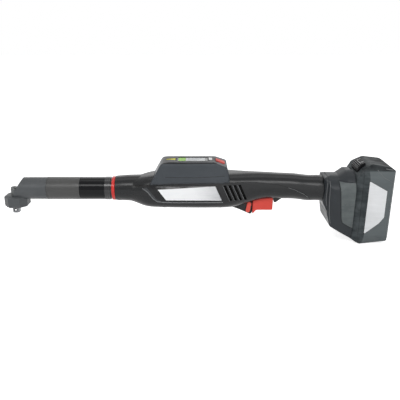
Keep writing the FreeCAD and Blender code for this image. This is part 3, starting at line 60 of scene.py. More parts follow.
MILLIMETRE = 0.001
AXIS_HEIGHT = 37.5
SHARP_ANGLE = math.radians(35.0)
MERGE_DISTANCE = 1e-7
WHITE = (1.0, 1.0, 1.0, 1.0)
RUNS = {False: "LINEAR", True: "SMOOTHSTEP"}

Colour = tuple[float, float, float]
Point = tuple[float, float, float]
Place = tuple[float, float]
Line = tuple[Place, ...]
Socket = bpy.types.NodeSocket
Sockets = dict[str, Socket]


def spot(x: float, y: float, z: float) -> Vector:
    """Turn a point about the main axis, in millimetres, into metres of the shared frame."""
    return Vector((x, y, z + AXIS_HEIGHT)) * MILLIMETRE


class Axis(Enum):
    """A direction of the shared frame."""

    ALONG = 0
    ACROSS = 1
    UP = 2

    def vector(self) -> Vector:
        """Return the unit vector of this direction."""
        return Vector([1.0 if k == self.value else 0.0 for k in range(3)])


class Side(Enum):
    """A side of the tool, by the sign of its distance across."""

    NEAR = -1.0
    FAR = 1.0

    def tag(self) -> str:
        """Return this side's part of a piece's name."""
        return self.name.lower()


class Stock(Enum):
    """What a surface is made of."""

    MOULDED = "moulded plastic"
    MACHINED = "machined metal"


class Bench:
    """A node tree with short calls to place and join its nodes."""

    def __init__(self, tree: bpy.types.NodeTree) -> None:
        """Keep the tree that the nodes go into."""
        self.tree = tree

    def place(self, kind: str, inputs: Optional[dict[Any, Any]] = None, **settings: Any) -> bpy.types.Node:
        """Add a node.

        Args:
            kind: the node's type.
            inputs: socket name or number to a value or to another node's output.
            **settings: the node's own settings.

        Returns:
            The new node.
        """
        node = self.tree.nodes.new(kind)
        for name, value in settings.items():
            setattr(node, name, value)
        self.feed(node, inputs or {})
        return node

    def feed(self, node: bpy.types.Node, inputs: dict[Any, Any]) -> None:
        """Give a node's inputs fixed values or links.

        Args:
            node: the node.
            inputs: socket name or number to a value or to another node's output.
        """
        for name, value in inputs.items():
            if isinstance(value, Socket):
                self.tree.links.new(value, node.inputs[name])
            else:
                node.inputs[name].default_value = value

    def calc(self, operation: str, *values: Any, clamp: bool = False) -> Socket:
        """Return the output of a Math node on one to three values."""
        node = self.place("ShaderNodeMath", dict(enumerate(values)), operation=operation, use_clamp=clamp)
        return node.outputs[0]

    def blend(self, share: Any, low: Any, high: Any) -> Socket:
        """Return a colour between two, by a share."""
        sockets = {0: share, 6: paint(low), 7: paint(high)}
        return self.place("ShaderNodeMix", sockets, data_type="RGBA").outputs[2]

    def spread(self, value: Any, source: Place, target: Place = (0.0, 1.0), smooth: bool = False) -> Socket:
        """Move a value from one range into another and clamp it there, with a smooth or a straight run."""
        sockets = dict(enumerate((value, *source, *target)))
        return self.place("ShaderNodeMapRange", sockets, interpolation_type=RUNS[smooth]).outputs[0]

    def here(self) -> Socket:
        """Return the place on the object, which is its place in the shared frame."""
        return self.place("ShaderNodeTexCoord").outputs["Object"]

    def noise(self, vector: Any, scale: Any, detail: float = 2.0, rough: float = 0.5) -> Socket:
        """Return the height of a noise."""
        sockets = {"Vector": vector, "Scale": scale, "Detail": detail, "Roughness": rough}
        return self.place("ShaderNodeTexNoise", sockets).outputs[0]


def paint(value: Any) -> Any:
    """Add the opacity that a colour socket wants to a plain colour."""
    return (*value, 1.0) if isinstance(value, tuple) and len(value) == len(Axis) else value


@dataclass
class Effect:
    """A node group that finishes share, with its inputs' usual values and its outputs' socket types."""

    name: str
    inputs: dict[str, float]
    outputs: dict[str, str]
    build: Callable[[Bench, Sockets], Sockets]

    def tree(self) -> bpy.types.NodeTree:
        """Make the group on first use.

        Returns:
            The group's node tree.
        """
        found = bpy.data.node_groups.get(self.name)
        if found:
            return found
        tree = bpy.data.node_groups.new(self.name, "ShaderNodeTree")
        for name, value in self.inputs.items():
            socket = tree.interface.new_socket(name, in_out="INPUT", socket_type="NodeSocketFloat")
            socket.default_value = value
        for name, kind in self.outputs.items():
            tree.interface.new_socket(name, in_out="OUTPUT", socket_type=kind)
        bench = Bench(tree)
        entry = bench.place("NodeGroupInput")
        made = self.build(bench, {name: entry.outputs[name] for name in self.inputs})
        bench.place("NodeGroupOutput", made)
        return tree

    def use(self, bench: Bench, **values: Any) -> bpy.types.Node:
        """Place the group among a material's nodes, with its input values by name."""
        return bench.place("ShaderNodeGroup", values, node_tree=self.tree())


# From where an effect starts to where it is full
WEAR_TURN: Place = (0.985, 0.8)
WEAR_PATCHES: Place = (0.35, 0.7)
HAND_MARKS: Place = (0.36, 0.64)
DUST_SLOPE: Place = (0.3, 1.0)
DUST_SPECKS: Place = (0.45, 0.75)

HAND_SCALE = 28.0
DUST_SCALE = 420.0


def build_edge_wear(bench: Bench, given: Sockets) -> Sockets:
    """Round the edges softly and find where they are worn.

    Args:
        bench: the group's nodes.
        given: the group's inputs.

    Returns:
        The worn share and the rounded normal, by name.
    """
    bevel = bench.place("ShaderNodeBevel", {"Radius": given["Radius"]}, samples=6)
    flat = bench.place("ShaderNodeNewGeometry").outputs["Normal"]
    match = bench.place("ShaderNodeVectorMath", {0: bevel.outputs[0], 1: flat}, operation="DOT_PRODUCT")
    turned = bench.spread(match.outputs["Value"], WEAR_TURN, smooth=True)
    patches = bench.noise(bench.here(), given["Patches"], detail=4.0, rough=0.6)
    worn = bench.calc("MULTIPLY", turned, bench.spread(patches, WEAR_PATCHES, (0.25, 1.0)), clamp=True)
    return {"Mask": worn, "Normal": bevel.outputs[0]}


def build_grain(bench: Bench, given: Sockets) -> Sockets:
    """Make the fine spark-eroded grain of a mould.

    Args:
        bench: the group's nodes.
        given: the group's inputs.

    Returns:
        The height, by name.
    """
    place = bench.here()
    fine = bench.noise(place, given["Scale"], detail=3.0, rough=0.6)
    sockets = {"Vector": place, "Scale": given["Scale"]}
    cells = bench.place("ShaderNodeTexVoronoi", sockets, feature="SMOOTH_F1")
    return {"Height": bench.calc("MULTIPLY_ADD", cells.outputs[0], given["Pits"], fine)}


def build_handling(bench: Bench, given: Sockets) -> Sockets:
    """Make broad soft marks where hands have polished a surface.

    Args:
        bench: the group's nodes.
        given: the group's inputs.

    Returns:
        The polished share, by name.
    """
    place = bench.here()
    broad = bench.noise(place, given["Scale"], detail=5.0, rough=0.62)
    streaks = bench.place("ShaderNodeMapping", {"Vector": place, "Scale": (0.25, 1.0, 1.6)})
    finer = bench.calc("MULTIPLY", given["Scale"], 4.0)
    wiped = bench.noise(streaks.outputs[0], finer, detail=3.0)
    both = bench.calc("MULTIPLY_ADD", wiped, 0.4, bench.calc("MULTIPLY", broad, 0.6))
    return {"Mask": bench.spread(both, HAND_MARKS, smooth=True)}


def build_turning(bench: Bench, given: Sockets) -> Sockets:
    """Make the fine rings that a lathe leaves across its axis.

    Args:
        bench: the group's nodes.
        given: the group's inputs.

    Returns:
        The height, by name.
    """
    place = bench.place("ShaderNodeSeparateXYZ", {0: bench.here()}).outputs
    forward = bench.calc("MULTIPLY", place[0], given["Along"])
    upward = bench.calc("MULTIPLY", place[2], given["Up"])
    sockets = {"W": bench.calc("ADD", forward, upward), "Scale": given["Scale"], "Detail": 3.0}
    rings = bench.place("ShaderNodeTexNoise", sockets, noise_dimensions="1D")
    return {"Height": rings.outputs[0]}


def build_dust(bench: Bench, given: Sockets) -> Sockets:
    """Make the thin dust that settles on what faces up.

    Args:
        bench: the group's nodes.
        given: the group's inputs.

    Returns:
        The share of dust, by name.
    """
    normal = bench.place("ShaderNodeNewGeometry").outputs["Normal"]
    height = bench.place("ShaderNodeSeparateXYZ", {0: normal}).outputs[2]
    upward = bench.spread(height, DUST_SLOPE, smooth=True)
    grit = bench.noise(bench.here(), DUST_SCALE, detail=6.0, rough=0.7)
    specks = bench.spread(grit, DUST_SPECKS)
    settled = bench.calc("MULTIPLY", upward, specks)
    return {"Mask": bench.calc("MULTIPLY", settled, given["Amount"], clamp=True)}


FLOAT, VECTOR = "NodeSocketFloat", "NodeSocketVector"
EDGE_WEAR = Effect("edge wear", {"Radius": 0.0003, "Patches": 160.0}, {"Mask": FLOAT, "Normal": VECTOR},
                   build_edge_wear)
GRAIN = Effect("mould grain", {"Scale": 2200.0, "Pits": 0.4}, {"Height": FLOAT}, build_grain)
HANDLING = Effect("handling marks", {"Scale": HAND_SCALE}, {"Mask": FLOAT}, build_handling)
TURNING = Effect("turning rings", {"Along": 1.0, "Up": 0.0, "Scale": 4000.0}, {"Height": FLOAT},
                 build_turning)
DUST = Effect("settled dust", {"Amount": 0.2}, {"Mask": FLOAT}, build_dust)


@dataclass(frozen=True)
class Zone:
    """A second colour that takes over along an axis, from one place to another."""

    axis: Axis
    start: float
    end: float
    colour: Colour

    def lay(self, bench: Bench, base: Any) -> Socket:
        """Mix this zone's colour over a base colour.

        Args:
            bench: the material's nodes.
            base: the colour below.

        Returns:
            The mixed colour.
        """
        place = bench.place("ShaderNodeSeparateXYZ", {0: bench.here()}).outputs[self.axis.value]
        lift = AXIS_HEIGHT if self.axis is Axis.UP else 0.0
        ends = ((self.start + lift) * MILLIMETRE, (self.end + lift) * MILLIMETRE)
        return bench.blend(bench.spread(place, ends, smooth=True), base, self.colour)


@dataclass(frozen=True)
class Patch:
    """A second colour inside a convex area of the side view, its corners given clockwise from -Y.

    Attributes:
        blur: half the width of its soft edge.
        sides: from how far to how far across the tool it reaches.
    """

    corners: Line
    colour: Colour
    blur: float = 0.25
    sides: Place = (-100.0, 100.0)

    def lay(self, bench: Bench, base: Any) -> Socket:
        """Mix this area's colour over a base colour.

        Args:
            bench: the material's nodes.
            base: the colour below.

        Returns:
            The mixed colour.
        """
        place = bench.place("ShaderNodeSeparateXYZ", {0: bench.here()}).outputs
        across = bench.calc("DIVIDE", place[1], MILLIMETRE)
        share = bench.calc("MULTIPLY", bench.calc("GREATER_THAN", across, self.sides[0]),
                           bench.calc("LESS_THAN", across, self.sides[1]))
        for (x0, z0), (x1, z1) in zip(self.corners, self.corners[1:] + self.corners[:1]):
            length = math.hypot(x1 - x0, z1 - z0)
            inward = ((z1 - z0) / length, (x0 - x1) / length)
            offset = inward[0] * x0 + inward[1] * (z0 + AXIS_HEIGHT)
            along_x = bench.calc("MULTIPLY", place[0], inward[0] / MILLIMETRE)
            reach = bench.calc("MULTIPLY_ADD", place[2], inward[1] / MILLIMETRE, along_x)
            edge = bench.spread(reach, (offset - self.blur, offset + self.blur), smooth=True)
            share = bench.calc("MULTIPLY", share, edge)
        return bench.blend(share, base, self.colour)


# Gain and lift of a colour where hands have rubbed it and where an edge is worn
RUBBED: Place = (1.25, 0.004)
WORN: Place = (1.6, 0.02)


def brighter(colour: Colour, gain: float, lift: float) -> Colour:
    """Return a colour that is brighter by a gain and a lift."""
    return tuple(min(1.0, part * gain + lift) for part in colour)


@dataclass(frozen=True)
class Finish:
    """One finish of the tool: its colour, gloss, texture and wear."""

    name: str
    colour: Colour
    stock: Stock = Stock.MOULDED
    roughness: float = 0.5
    polish: float = 0.1
    metal: float = 0.0
    coat: float = 0.0
    coat_roughness: float = 0.1
    specular: float = 0.12
    texture_scale: float = 2200.0
    texture_depth: float = 0.01
    tint: Optional[Colour] = None
    tint_share: float = 0.35
    edge_colour: Optional[Colour] = None
    edge_share: float = 0.5
    edge_radius: float = 0.35
    dust: float = 0.0
    turned_along: Axis = Axis.ALONG
    glow: float = 0.0
    zones: tuple[Zone | Patch, ...] = ()

    def material(self) -> bpy.types.Material:
        """Make the finish's material on first use.

        Returns:
            The material.
        """
        found = bpy.data.materials.get(self.name)
        if found:
            return found
        material = bpy.data.materials.new(self.name)
        material.use_nodes = True
        bench = Bench(material.node_tree)
        shader = material.node_tree.nodes["Principled BSDF"]
        marks = HANDLING.use(bench, Scale=HAND_SCALE).outputs["Mask"]
        wear = EDGE_WEAR.use(bench, Radius=self.edge_radius * MILLIMETRE)
        colour = self._colour(bench, marks, wear.outputs["Mask"])
        gloss = (self.roughness + self.polish, self.roughness - self.polish)
        bump = bench.place("ShaderNodeBump", {
            "Strength": 1.0, "Distance": self.texture_depth * MILLIMETRE,
            "Height": self._texture(bench), "Normal": wear.outputs["Normal"],
        })
        bench.feed(shader, {
            "Base Color": colour, "Roughness": bench.spread(marks, (0.0, 1.0), gloss),
            "Metallic": self.metal, "Specular IOR Level": self.specular, "Coat Weight": self.coat,
            "Coat Roughness": self.coat_roughness, "Normal": bump.outputs[0],
        })
        if self.glow:
            bench.feed(shader, {"Emission Color": colour, "Emission Strength": self.glow})
        return material

    def _texture(self, bench: Bench) -> Socket:
        """Make the finish's fine texture.

        Args:
            bench: the material's nodes.

        Returns:
            The texture's height.
        """
        if self.stock is Stock.MACHINED:
            upright = 1.0 if self.turned_along is Axis.UP else 0.0
            rings = TURNING.use(bench, Along=1.0 - upright, Up=upright, Scale=self.texture_scale)
            return rings.outputs["Height"]
        return GRAIN.use(bench, Scale=self.texture_scale).outputs["Height"]

    def _colour(self, bench: Bench, marks: Socket, worn: Socket) -> Socket:
        """Lay the zones, tint, worn edges and dust over the plain colour.

        Args:
            bench: the material's nodes.
            marks: the share that hands have polished.
            worn: the share that is worn.

        Returns:
            The colour.
        """
        colour: Any = self.colour
        for zone in self.zones:
            colour = zone.lay(bench, colour)
        tint = self.tint or brighter(self.colour, *RUBBED)
        colour = bench.blend(bench.calc("MULTIPLY", marks, self.tint_share), colour, tint)
        edge = self.edge_colour or brighter(self.colour, *WORN)
        colour = bench.blend(bench.calc("MULTIPLY", worn, self.edge_share), colour, edge)
        dust = DUST.use(bench, Amount=self.dust).outputs["Mask"]
        return bench.blend(dust, colour, DUST_COLOUR)


DUST_COLOUR: Colour = (0.42, 0.41, 0.39)
# Painted highlight: the lighter band along the raised lip in front of and below the plate
LIP_HIGHLIGHT: Colour = (0.04, 0.043, 0.047)
SHADE: Colour = (0.003, 0.003, 0.004)

# Areas of the side view with a second colour: painted shade, a painted highlight, or the foot panel's own
# colour
# Painted shade of the groove along the pod's foot, darker than the black housing
NOSE_GROOVE_SHADE: Line = (
    (155.8, 8.2), (190.1, 11.9), (204.9, 13.6), (226.5, 15.1), (226.4, 12.8), (204.8, 10.3), (175.0, 8.0))
# Painted shade round the side plate's recess, on the near side only
PLATE_RECESS_SHADE: Line = ((205.4, 12.6), (302.5, 12.6), (309.5, -11.4), (219.5, -11.4), (211.0, -4.2))
# Painted shade on the side plate's upper front corner
PLATE_CORNER_SHADE: Line = ((205.0, 14.0), (302.0, 14.0), (302.0, 11.7), (205.0, 5.9))
# Painted highlight along the lip, in three areas
LIP_HIGHLIGHT_AREAS: tuple[Line, ...] = (
    ((195.4, 7.6), (200.0, 9.0), (206.4, 1.5), (202.3, 0.2)),
    ((202.3, 0.2), (206.4, 1.5), (213.8, -7.9), (210.4, -9.8)),
    ((210.4, -9.8), (213.8, -7.9), (221.0, -11.3), (219.6, -13.2)))
FOOT_PANEL: Line = (
    (476.5, 17.0), (500.0, 17.0), (500.0, -51.6), (490.8, -46.9), (484.1, -42.9), (482.0, -36.5),
    (479.0, -7.5))


class Palette:
    """Every finish of the tool, by what it is used for."""

    head = Finish(
        "cast head enamel", (0.08, 0.085, 0.089), roughness=0.4, polish=0.08, metal=0.1, specular=0.2,
        texture_scale=1500.0, texture_depth=0.02, edge_colour=(0.26, 0.27, 0.27), edge_share=0.45,
        edge_radius=0.9, dust=0.06)
    tube = Finish(
        "gearbox tube enamel", (0.062, 0.062, 0.061), roughness=0.34, polish=0.06, metal=0.1, specular=0.3,
        texture_scale=1700.0, texture_depth=0.015, edge_colour=(0.2, 0.2, 0.2), dust=0.06)
    sleeve = Finish(
        "lacquered sleeve", (0.002, 0.0025, 0.0035), roughness=0.12, polish=0.02, specular=0.17,
        texture_depth=0.002, dust=0.01, tint_share=0.1)
    collar = Finish(
        "black union nut", (0.004, 0.004, 0.005), roughness=0.16, polish=0.03, specular=0.6,
        texture_depth=0.002, dust=0.01)
    red_ring = Finish(
        "red marking ring", (0.62, 0.035, 0.03), roughness=0.32, coat=0.3, texture_depth=0.004, dust=0.06)
    steel = Finish(
        "ground steel", (0.15, 0.155, 0.16), Stock.MACHINED, roughness=0.24, metal=1.0,
        texture_scale=5000.0, texture_depth=0.004, turned_along=Axis.UP)
    shaft_steel = Finish(
        "turned steel", (0.5, 0.5, 0.5), Stock.MACHINED, roughness=0.3, metal=1.0, texture_scale=4200.0,
        texture_depth=0.005)
    gear_steel = Finish(
        "hardened gear steel", (0.36, 0.35, 0.34), Stock.MACHINED, roughness=0.34, metal=1.0,
        texture_scale=3500.0, texture_depth=0.005, tint=(0.3, 0.27, 0.22))
    blackened = Finish(
        "blackened screw", (0.05, 0.05, 0.052), Stock.MACHINED, roughness=0.38, metal=0.9,
        turned_along=Axis.UP, texture_depth=0.004, dust=0.06)
    chrome = Finish(
        "polished ball", (0.86, 0.86, 0.86), Stock.MACHINED, roughness=0.1, polish=0.03, metal=1.0,
        texture_depth=0.001)
    cap = Finish(
        "head cap", (0.13, 0.135, 0.135), Stock.MACHINED, roughness=0.38, metal=0.5, turned_along=Axis.UP,
        edge_colour=(0.5, 0.5, 0.5), dust=0.06)
    aluminium = Finish(
        "machined aluminium", (0.55, 0.555, 0.56), Stock.MACHINED, roughness=0.35, metal=1.0,
        texture_scale=3000.0)
    housing = Finish(
        "charcoal housing", (0.0075, 0.0082, 0.0092), roughness=0.24, polish=0.04, specular=0.28,
        texture_scale=2600.0, texture_depth=0.008, edge_colour=(0.1, 0.1, 0.105), edge_radius=0.45,
        dust=0.02,
        # Painted shade in the groove and round the plate, and a painted highlight along the lip
        zones=(Patch(NOSE_GROOVE_SHADE, (0.002, 0.002, 0.002)), Patch(PLATE_RECESS_SHADE, SHADE, sides=(-100.0, 0.0)),
               *(Patch(area, LIP_HIGHLIGHT) for area in LIP_HIGHLIGHT_AREAS)))
    pod = Finish(
        "slate pod shell", (0.056, 0.063, 0.071), roughness=0.34, polish=0.06, specular=0.14,
        texture_scale=2600.0, edge_colour=(0.12, 0.125, 0.13), edge_radius=5.0, edge_share=0.2, dust=0.02,
        zones=(Zone(Axis.UP, 42.3, 43.2, (0.005, 0.005, 0.006)),))
    black = Finish(
        "black moulding", (0.008, 0.008, 0.009), roughness=0.42, specular=0.06,
        edge_colour=(0.06, 0.06, 0.06), dust=0.02)
    # The louvres' own black, darkened further as painted shade inside the vent slots
    shaded_louvre = Finish("dark louvre", (0.004, 0.004, 0.004), roughness=0.7, specular=0.1, edge_share=0.1)
    foot = Finish(
        "black handle foot", (0.033, 0.037, 0.041), roughness=0.32, polish=0.06, specular=0.14,
        edge_colour=(0.09, 0.09, 0.092), edge_radius=1.5, edge_share=0.3, dust=0.02,
        zones=(Patch(FOOT_PANEL, (0.13, 0.147, 0.147)),))
    battery = Finish(
        "graphite battery shell", (0.122, 0.138, 0.142), roughness=0.44, polish=0.08, specular=0.05,
        texture_scale=2000.0, texture_depth=0.016, edge_colour=(0.13, 0.14, 0.145), edge_radius=2.4,
        edge_share=0.3, dust=0.02,
        # The first zone is painted shade: the front chamfer darker than the sides
        zones=(Zone(Axis.ALONG, 515.6, 514.4, (0.04, 0.047, 0.05)),
               Zone(Axis.UP, 33.5, 36.0, (0.008, 0.009, 0.01))))
    trigger = Finish(
        "red trigger", (0.69, 0.08, 0.062), roughness=0.38, polish=0.06, texture_depth=0.006,
        tint=(0.75, 0.1, 0.08), edge_colour=(0.8, 0.22, 0.2), edge_radius=0.5, dust=0.03)
    selector = Finish(
        "light red selector", (0.72, 0.1, 0.075), roughness=0.34, texture_depth=0.005,
        edge_colour=(0.85, 0.3, 0.27), edge_radius=0.6, dust=0.02)
    white_key = Finish(
        "white key", (0.78, 0.78, 0.77), roughness=0.35, texture_depth=0.004, edge_radius=0.5, dust=0.02)
    window = Finish(
        "display pane", (0.012, 0.013, 0.014), roughness=0.12, polish=0.04, coat=1.0, coat_roughness=0.04,
        texture_depth=0.001, dust=0.02)
    arrow = Finish(
        "yellow arrow lens", (0.66, 0.62, 0.03), roughness=0.3, texture_depth=0.002, edge_share=0.0,
        glow=0.08)
    plate = Finish(
        "satin foil plate", (0.84, 0.85, 0.86), Stock.MACHINED, roughness=0.38, metal=0.15,
        texture_scale=2600.0, texture_depth=0.002, turned_along=Axis.UP, edge_share=0.2,
        # Painted shade: the plate darkens toward its rear end and on its upper front corner
        zones=(Zone(Axis.ALONG, 262.0, 312.0, (0.4, 0.41, 0.43)), Patch(PLATE_CORNER_SHADE, SHADE)))
    label = Finish(
        "satin battery label", (0.76, 0.77, 0.78), roughness=0.4, texture_depth=0.002, edge_share=0.2,
        # Painted shade: the label darkens toward its bottom
        zones=(Zone(Axis.UP, -8.0, -44.0, (0.7, 0.71, 0.72)),))
    board = Finish("green circuit board", (0.02, 0.1, 0.045), roughness=0.3, coat=0.4)
    contacts = Finish(
        "contact block", (0.018, 0.018, 0.02), roughness=0.4, metal=0.2,
        zones=(Zone(Axis.ALONG, 499.15, 499.25, (0.72, 0.5, 0.22)),))
    iron = Finish(
        "laminated iron", (0.22, 0.22, 0.225), Stock.MACHINED, roughness=0.42, metal=0.9,
        texture_scale=1900.0, texture_depth=0.03)
    cell = Finish(
        "shrink-wrapped cell", (0.03, 0.12, 0.3), roughness=0.28, coat=0.4, texture_depth=0.004,
        zones=(Zone(Axis.ACROSS, -31.0, -32.2, (0.6, 0.6, 0.6)),
               Zone(Axis.ACROSS, 31.0, 32.2, (0.6, 0.6, 0.6))))
    # Dark beads round the plate and the battery label and above the pod's foot: painted shade in their
    # grooves
    rim = Finish("painted groove shade bead", (0.006, 0.006, 0.007), roughness=0.28, coat=0.5, texture_depth=0.002)
    # A pale grey: the display frame's own colour, and elsewhere painted highlights along edges, ridges,
    # slots and the lip
    grey_and_highlight_bead = Finish(
        "light edge bead", (0.15, 0.155, 0.16), roughness=0.34, coat=0.2, texture_depth=0.004)
    pale_mark = Finish("pale moulded mark", (0.46, 0.47, 0.47), roughness=0.4, texture_depth=0.002)
    lit_green = Finish(
        "green display field", (0.22, 0.48, 0.03), roughness=0.25, texture_depth=0.001, glow=0.12)
    lit_white = Finish(
        "white display field", (0.56, 0.58, 0.58), roughness=0.25, texture_depth=0.001, glow=0.08)
    lit_grey = Finish(
        "grey display field", (0.3, 0.32, 0.34), roughness=0.25, texture_depth=0.001, glow=0.05)


def show(name: str, data: Any) -> bpy.types.Object:
    """Return a new object of the scene with some data."""
    thing = bpy.data.objects.new(name, data)
    bpy.context.scene.collection.objects.link(thing)
    return thing


class Piece:
    """A new visible piece, shaped with mesh operators and then finished."""

    def __init__(self, name: str) -> None:
        """Start an empty mesh under a name."""
        self.name = name
        self.mesh = bmesh.new()

    def block(self, low: Point, high: Point) -> "Piece":
        """Add a block.

        Args:
            low: its lowest corner, about the main axis.
            high: its highest corner.

        Returns:
            This piece.
        """
        first, last = spot(*low), spot(*high)
        size = Matrix.Diagonal([*(last - first), 1.0])
        bmesh.ops.create_cube(self.mesh, size=1.0, matrix=Matrix.Translation((first + last) / 2) @ size)
        return self

    def turned(self, profile: Sequence[Place], centre: Point, axis: Axis, steps: int = 64) -> "Piece":
        """Spin a profile of (radius, distance along the axis) points into a ring.

        Args:
            profile: the section's points in order.
            centre: the middle that the distances are counted from.
            axis: the axis that it is spun about.
            steps: how many steps the turn takes.

        Returns:
            This piece.
        """
        middle, forward = spot(*centre), axis.vector()
        side = (Axis.UP if axis is Axis.ACROSS else Axis.ACROSS).vector()
        verts = [self.mesh.verts.new(middle + (side * radius + forward * shift) * MILLIMETRE)
                 for radius, shift in profile]
        edges = [self.mesh.edges.new(pair) for pair in zip(verts, verts[1:] + verts[:1])]
        bmesh.ops.spin(self.mesh, geom=verts + edges, cent=middle, axis=forward, angle=math.tau,
                       steps=steps, use_merge=True, use_duplicate=False)
        return self

    def done(self, finish: Finish, body: str, slot: str, smooth: bool = True) -> bpy.types.Object:
        """Close the mesh, give it its finish and hang it on its body.

        Args:
            finish: the piece's finish.
            body: the body that carries it.
            slot: the record's material slot; not used.
            smooth: whether its faces are shaded smooth, but for its sharp edges.

        Returns:
            The finished object.
        """
        bmesh.ops.remove_doubles(self.mesh, verts=self.mesh.verts, dist=MERGE_DISTANCE)
        bmesh.ops.recalc_face_normals(self.mesh, faces=self.mesh.faces)
        data = bpy.data.meshes.new(self.name)
        self.mesh.to_mesh(data)
        self.mesh.free()
        data.materials.append(finish.material())
        if smooth:
            data.shade_smooth()
            data.set_sharp_from_angle(angle=SHARP_ANGLE)
        piece = show(self.name, data)
        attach(piece, body)
        LOG.info("added %s on %s", self.name, body)
        return piece


@dataclass(frozen=True)
class Bead:
    """A kind of round bead: closed if its ends meet, and flowing if it runs as a spline."""

    radius: float
    # By default the pale grey of painted highlights and of the display frame
    finish: Finish = Palette.grey_and_highlight_bead
    body: str = "tool"
    slot: str = "black_plastic"
    closed: bool = False
    flowing: bool = False

    def lay(self, name: str, points: Sequence[Vector]) -> bpy.types.Object:
        """Lay the bead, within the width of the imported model.

        Args:
            name: the piece's name.
            points: the middle of the bead, in the shared frame.

        Returns:
            The bead as a mesh.
        """
        radius = self.radius * MILLIMETRE
        near, far = CAD_BOUNDS[0][1] + radius, CAD_BOUNDS[1][1] - radius
        data = bpy.data.curves.new(name + "_line", "CURVE")
        data.dimensions = "3D"
        data.bevel_depth = radius
        data.bevel_resolution = 2
        data.use_fill_caps = not self.closed
        line = data.splines.new("NURBS" if self.flowing else "POLY")
        line.points.add(len(points) - 1)
        for place, point in zip(line.points, points):
            place.co = (point.x, min(max(point.y, near), far), point.z, 1.0)
        line.use_cyclic_u = self.closed
        if self.flowing:
            line.order_u = 3
            line.use_endpoint_u = not self.closed
        scratch = show(name + "_line", data)
        bpy.context.view_layer.update()
        shown = scratch.evaluated_get(bpy.context.evaluated_depsgraph_get())
        mesh = bpy.data.meshes.new_from_object(shown)
        bpy.data.objects.remove(scratch)
        bpy.data.curves.remove(data)
        shape = Piece(name)
        shape.mesh.from_mesh(mesh)
        bpy.data.meshes.remove(mesh)
        return shape.done(self.finish, self.body, self.slot)


def along(ends: Sequence[Place], step: float, closed: bool = False) -> list[Place]:
    """Divide a line through corners into short steps.

    Args:
        ends: the line's corners.
        step: the longest step.
        closed: whether the last corner joins the first.

    Returns:
        The places along it, its corners among them.
    """
    places: list[Place] = []
    ends = [*ends, ends[0]] if closed else list(ends)
    for (x0, z0), (x1, z1) in zip(ends, ends[1:]):
        count = max(1, math.ceil(math.hypot(x1 - x0, z1 - z0) / step))
        places += [(x0 + (x1 - x0) * k / count, z0 + (z1 - z0) * k / count) for k in range(count)]
    return places if closed else places + [ends[-1]]


class Skin:
    """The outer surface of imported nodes, which beads are laid on."""

    BESIDE: float = 120.0
    ABOVE: float = 150.0

    def __init__(self, *nodes: str) -> None:
        """Gather the nodes' faces into one search tree.

        Args:
            *nodes: the nodes' names.
        """
        verts: list[Vector] = []
        faces: list[list[int]] = []
        for name in nodes:
            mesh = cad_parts[name].data
            first = len(verts)
            verts += [vert.co.copy() for vert in mesh.vertices]
            faces += [[first + index for index in face.vertices] for face in mesh.polygons]
        self.tree = BVHTree.FromPolygons(verts, faces)

    def meet(self, starts: Sequence[Vector], way: Vector) -> list[Vector]:
        """Return the first point that each ray meets, but for the rays that miss."""
        met = [self.tree.ray_cast(start, way)[0] for start in starts]
        return [point for point in met if point is not None]

    def from_side(self, places: Sequence[Place], side: Side = Side.NEAR) -> list[Vector]:
        """Return the points of one side of the tool, by places along and up."""
        starts = [spot(x, side.value * self.BESIDE, z) for x, z in places]
        return self.meet(starts, Axis.ACROSS.vector() * -side.value)

    def from_above(self, places: Sequence[Place]) -> list[Vector]:
        """Return the points of the tool's top, by places along and across."""
        starts = [spot(x, y, self.ABOVE) for x, y in places]
        return self.meet(starts, -Axis.UP.vector())


def dress(finish: Finish, *nodes: str) -> None:
    """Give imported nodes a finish.

    Args:
        finish: the finish.
        *nodes: the nodes' names.
    """
    for name in nodes:
        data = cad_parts[name].data
        data.materials.clear()
        data.materials.append(finish.material())
        LOG.info("dressed %s in %s", name, finish.name)


@dataclass
class AngleHead:
    """The head with its square drive, gears and bearings.

    Attributes:
        ball: how far across and up the detent ball sits.
        stake: the staked ring's section, as (distance beyond the ball's radius, distance across).
        joint: where the head meets the gearbox tube.
        lip: the lip's section there, as (distance beyond the tube's radius, distance along).
    """

    ball: Place = (-4.765, -32.76)
    ball_radius: float = 1.95
    stake: Line = ((0.0, 0.15), (0.0, -0.12), (0.35, -0.16), (0.7, -0.04), (0.7, 0.15))
    joint: float = 52.0
    tube_radius: float = 16.3
    lip: Line = ((-0.3, -1.1), (0.12, -1.1), (0.3, -0.9), (0.3, -0.35), (0.12, -0.15), (-0.3, -0.15))

    def build(self) -> None:
        """Dress the nodes and add the small turned rings."""
        dress(Palette.head, "angle_head_housing", "head_base_plate")
        dress(Palette.cap, "head_top_cap")
        dress(Palette.blackened, "base_plate_screws")
        dress(Palette.steel, "output_spindle", "detent_spring")
        dress(Palette.chrome, "detent_ball")
        dress(Palette.shaft_steel, "spindle_bearing", "transfer_bearing", "pinion_bearings")
        dress(Palette.gear_steel, "output_gear", "transfer_shaft", "crown_gear", "bevel_pinion")
        dress(Palette.aluminium, "bearing_spacer")
        self._ball_ring()
        self._joint_ring()

    def _ball_ring(self) -> None:
        """Add the dark staked ring that keeps the sprung ball in the square."""
        profile = [(self.ball_radius + out, shift) for out, shift in self.stake]
        ring = Piece("ball_stake_ring").turned(profile, (0.0, *self.ball), Axis.ACROSS, steps=40)
        ring.done(Palette.blackened, "output", "steel")

    def _joint_ring(self) -> None:
        """Add the lip where the head meets the gearbox tube."""
        profile = [(self.tube_radius + out, shift) for out, shift in self.lip]
        ring = Piece("head_joint_lip").turned(profile, (self.joint, 0.0, 0.0), Axis.ALONG, steps=96)
        ring.done(Palette.head, "tool", "head_metal")


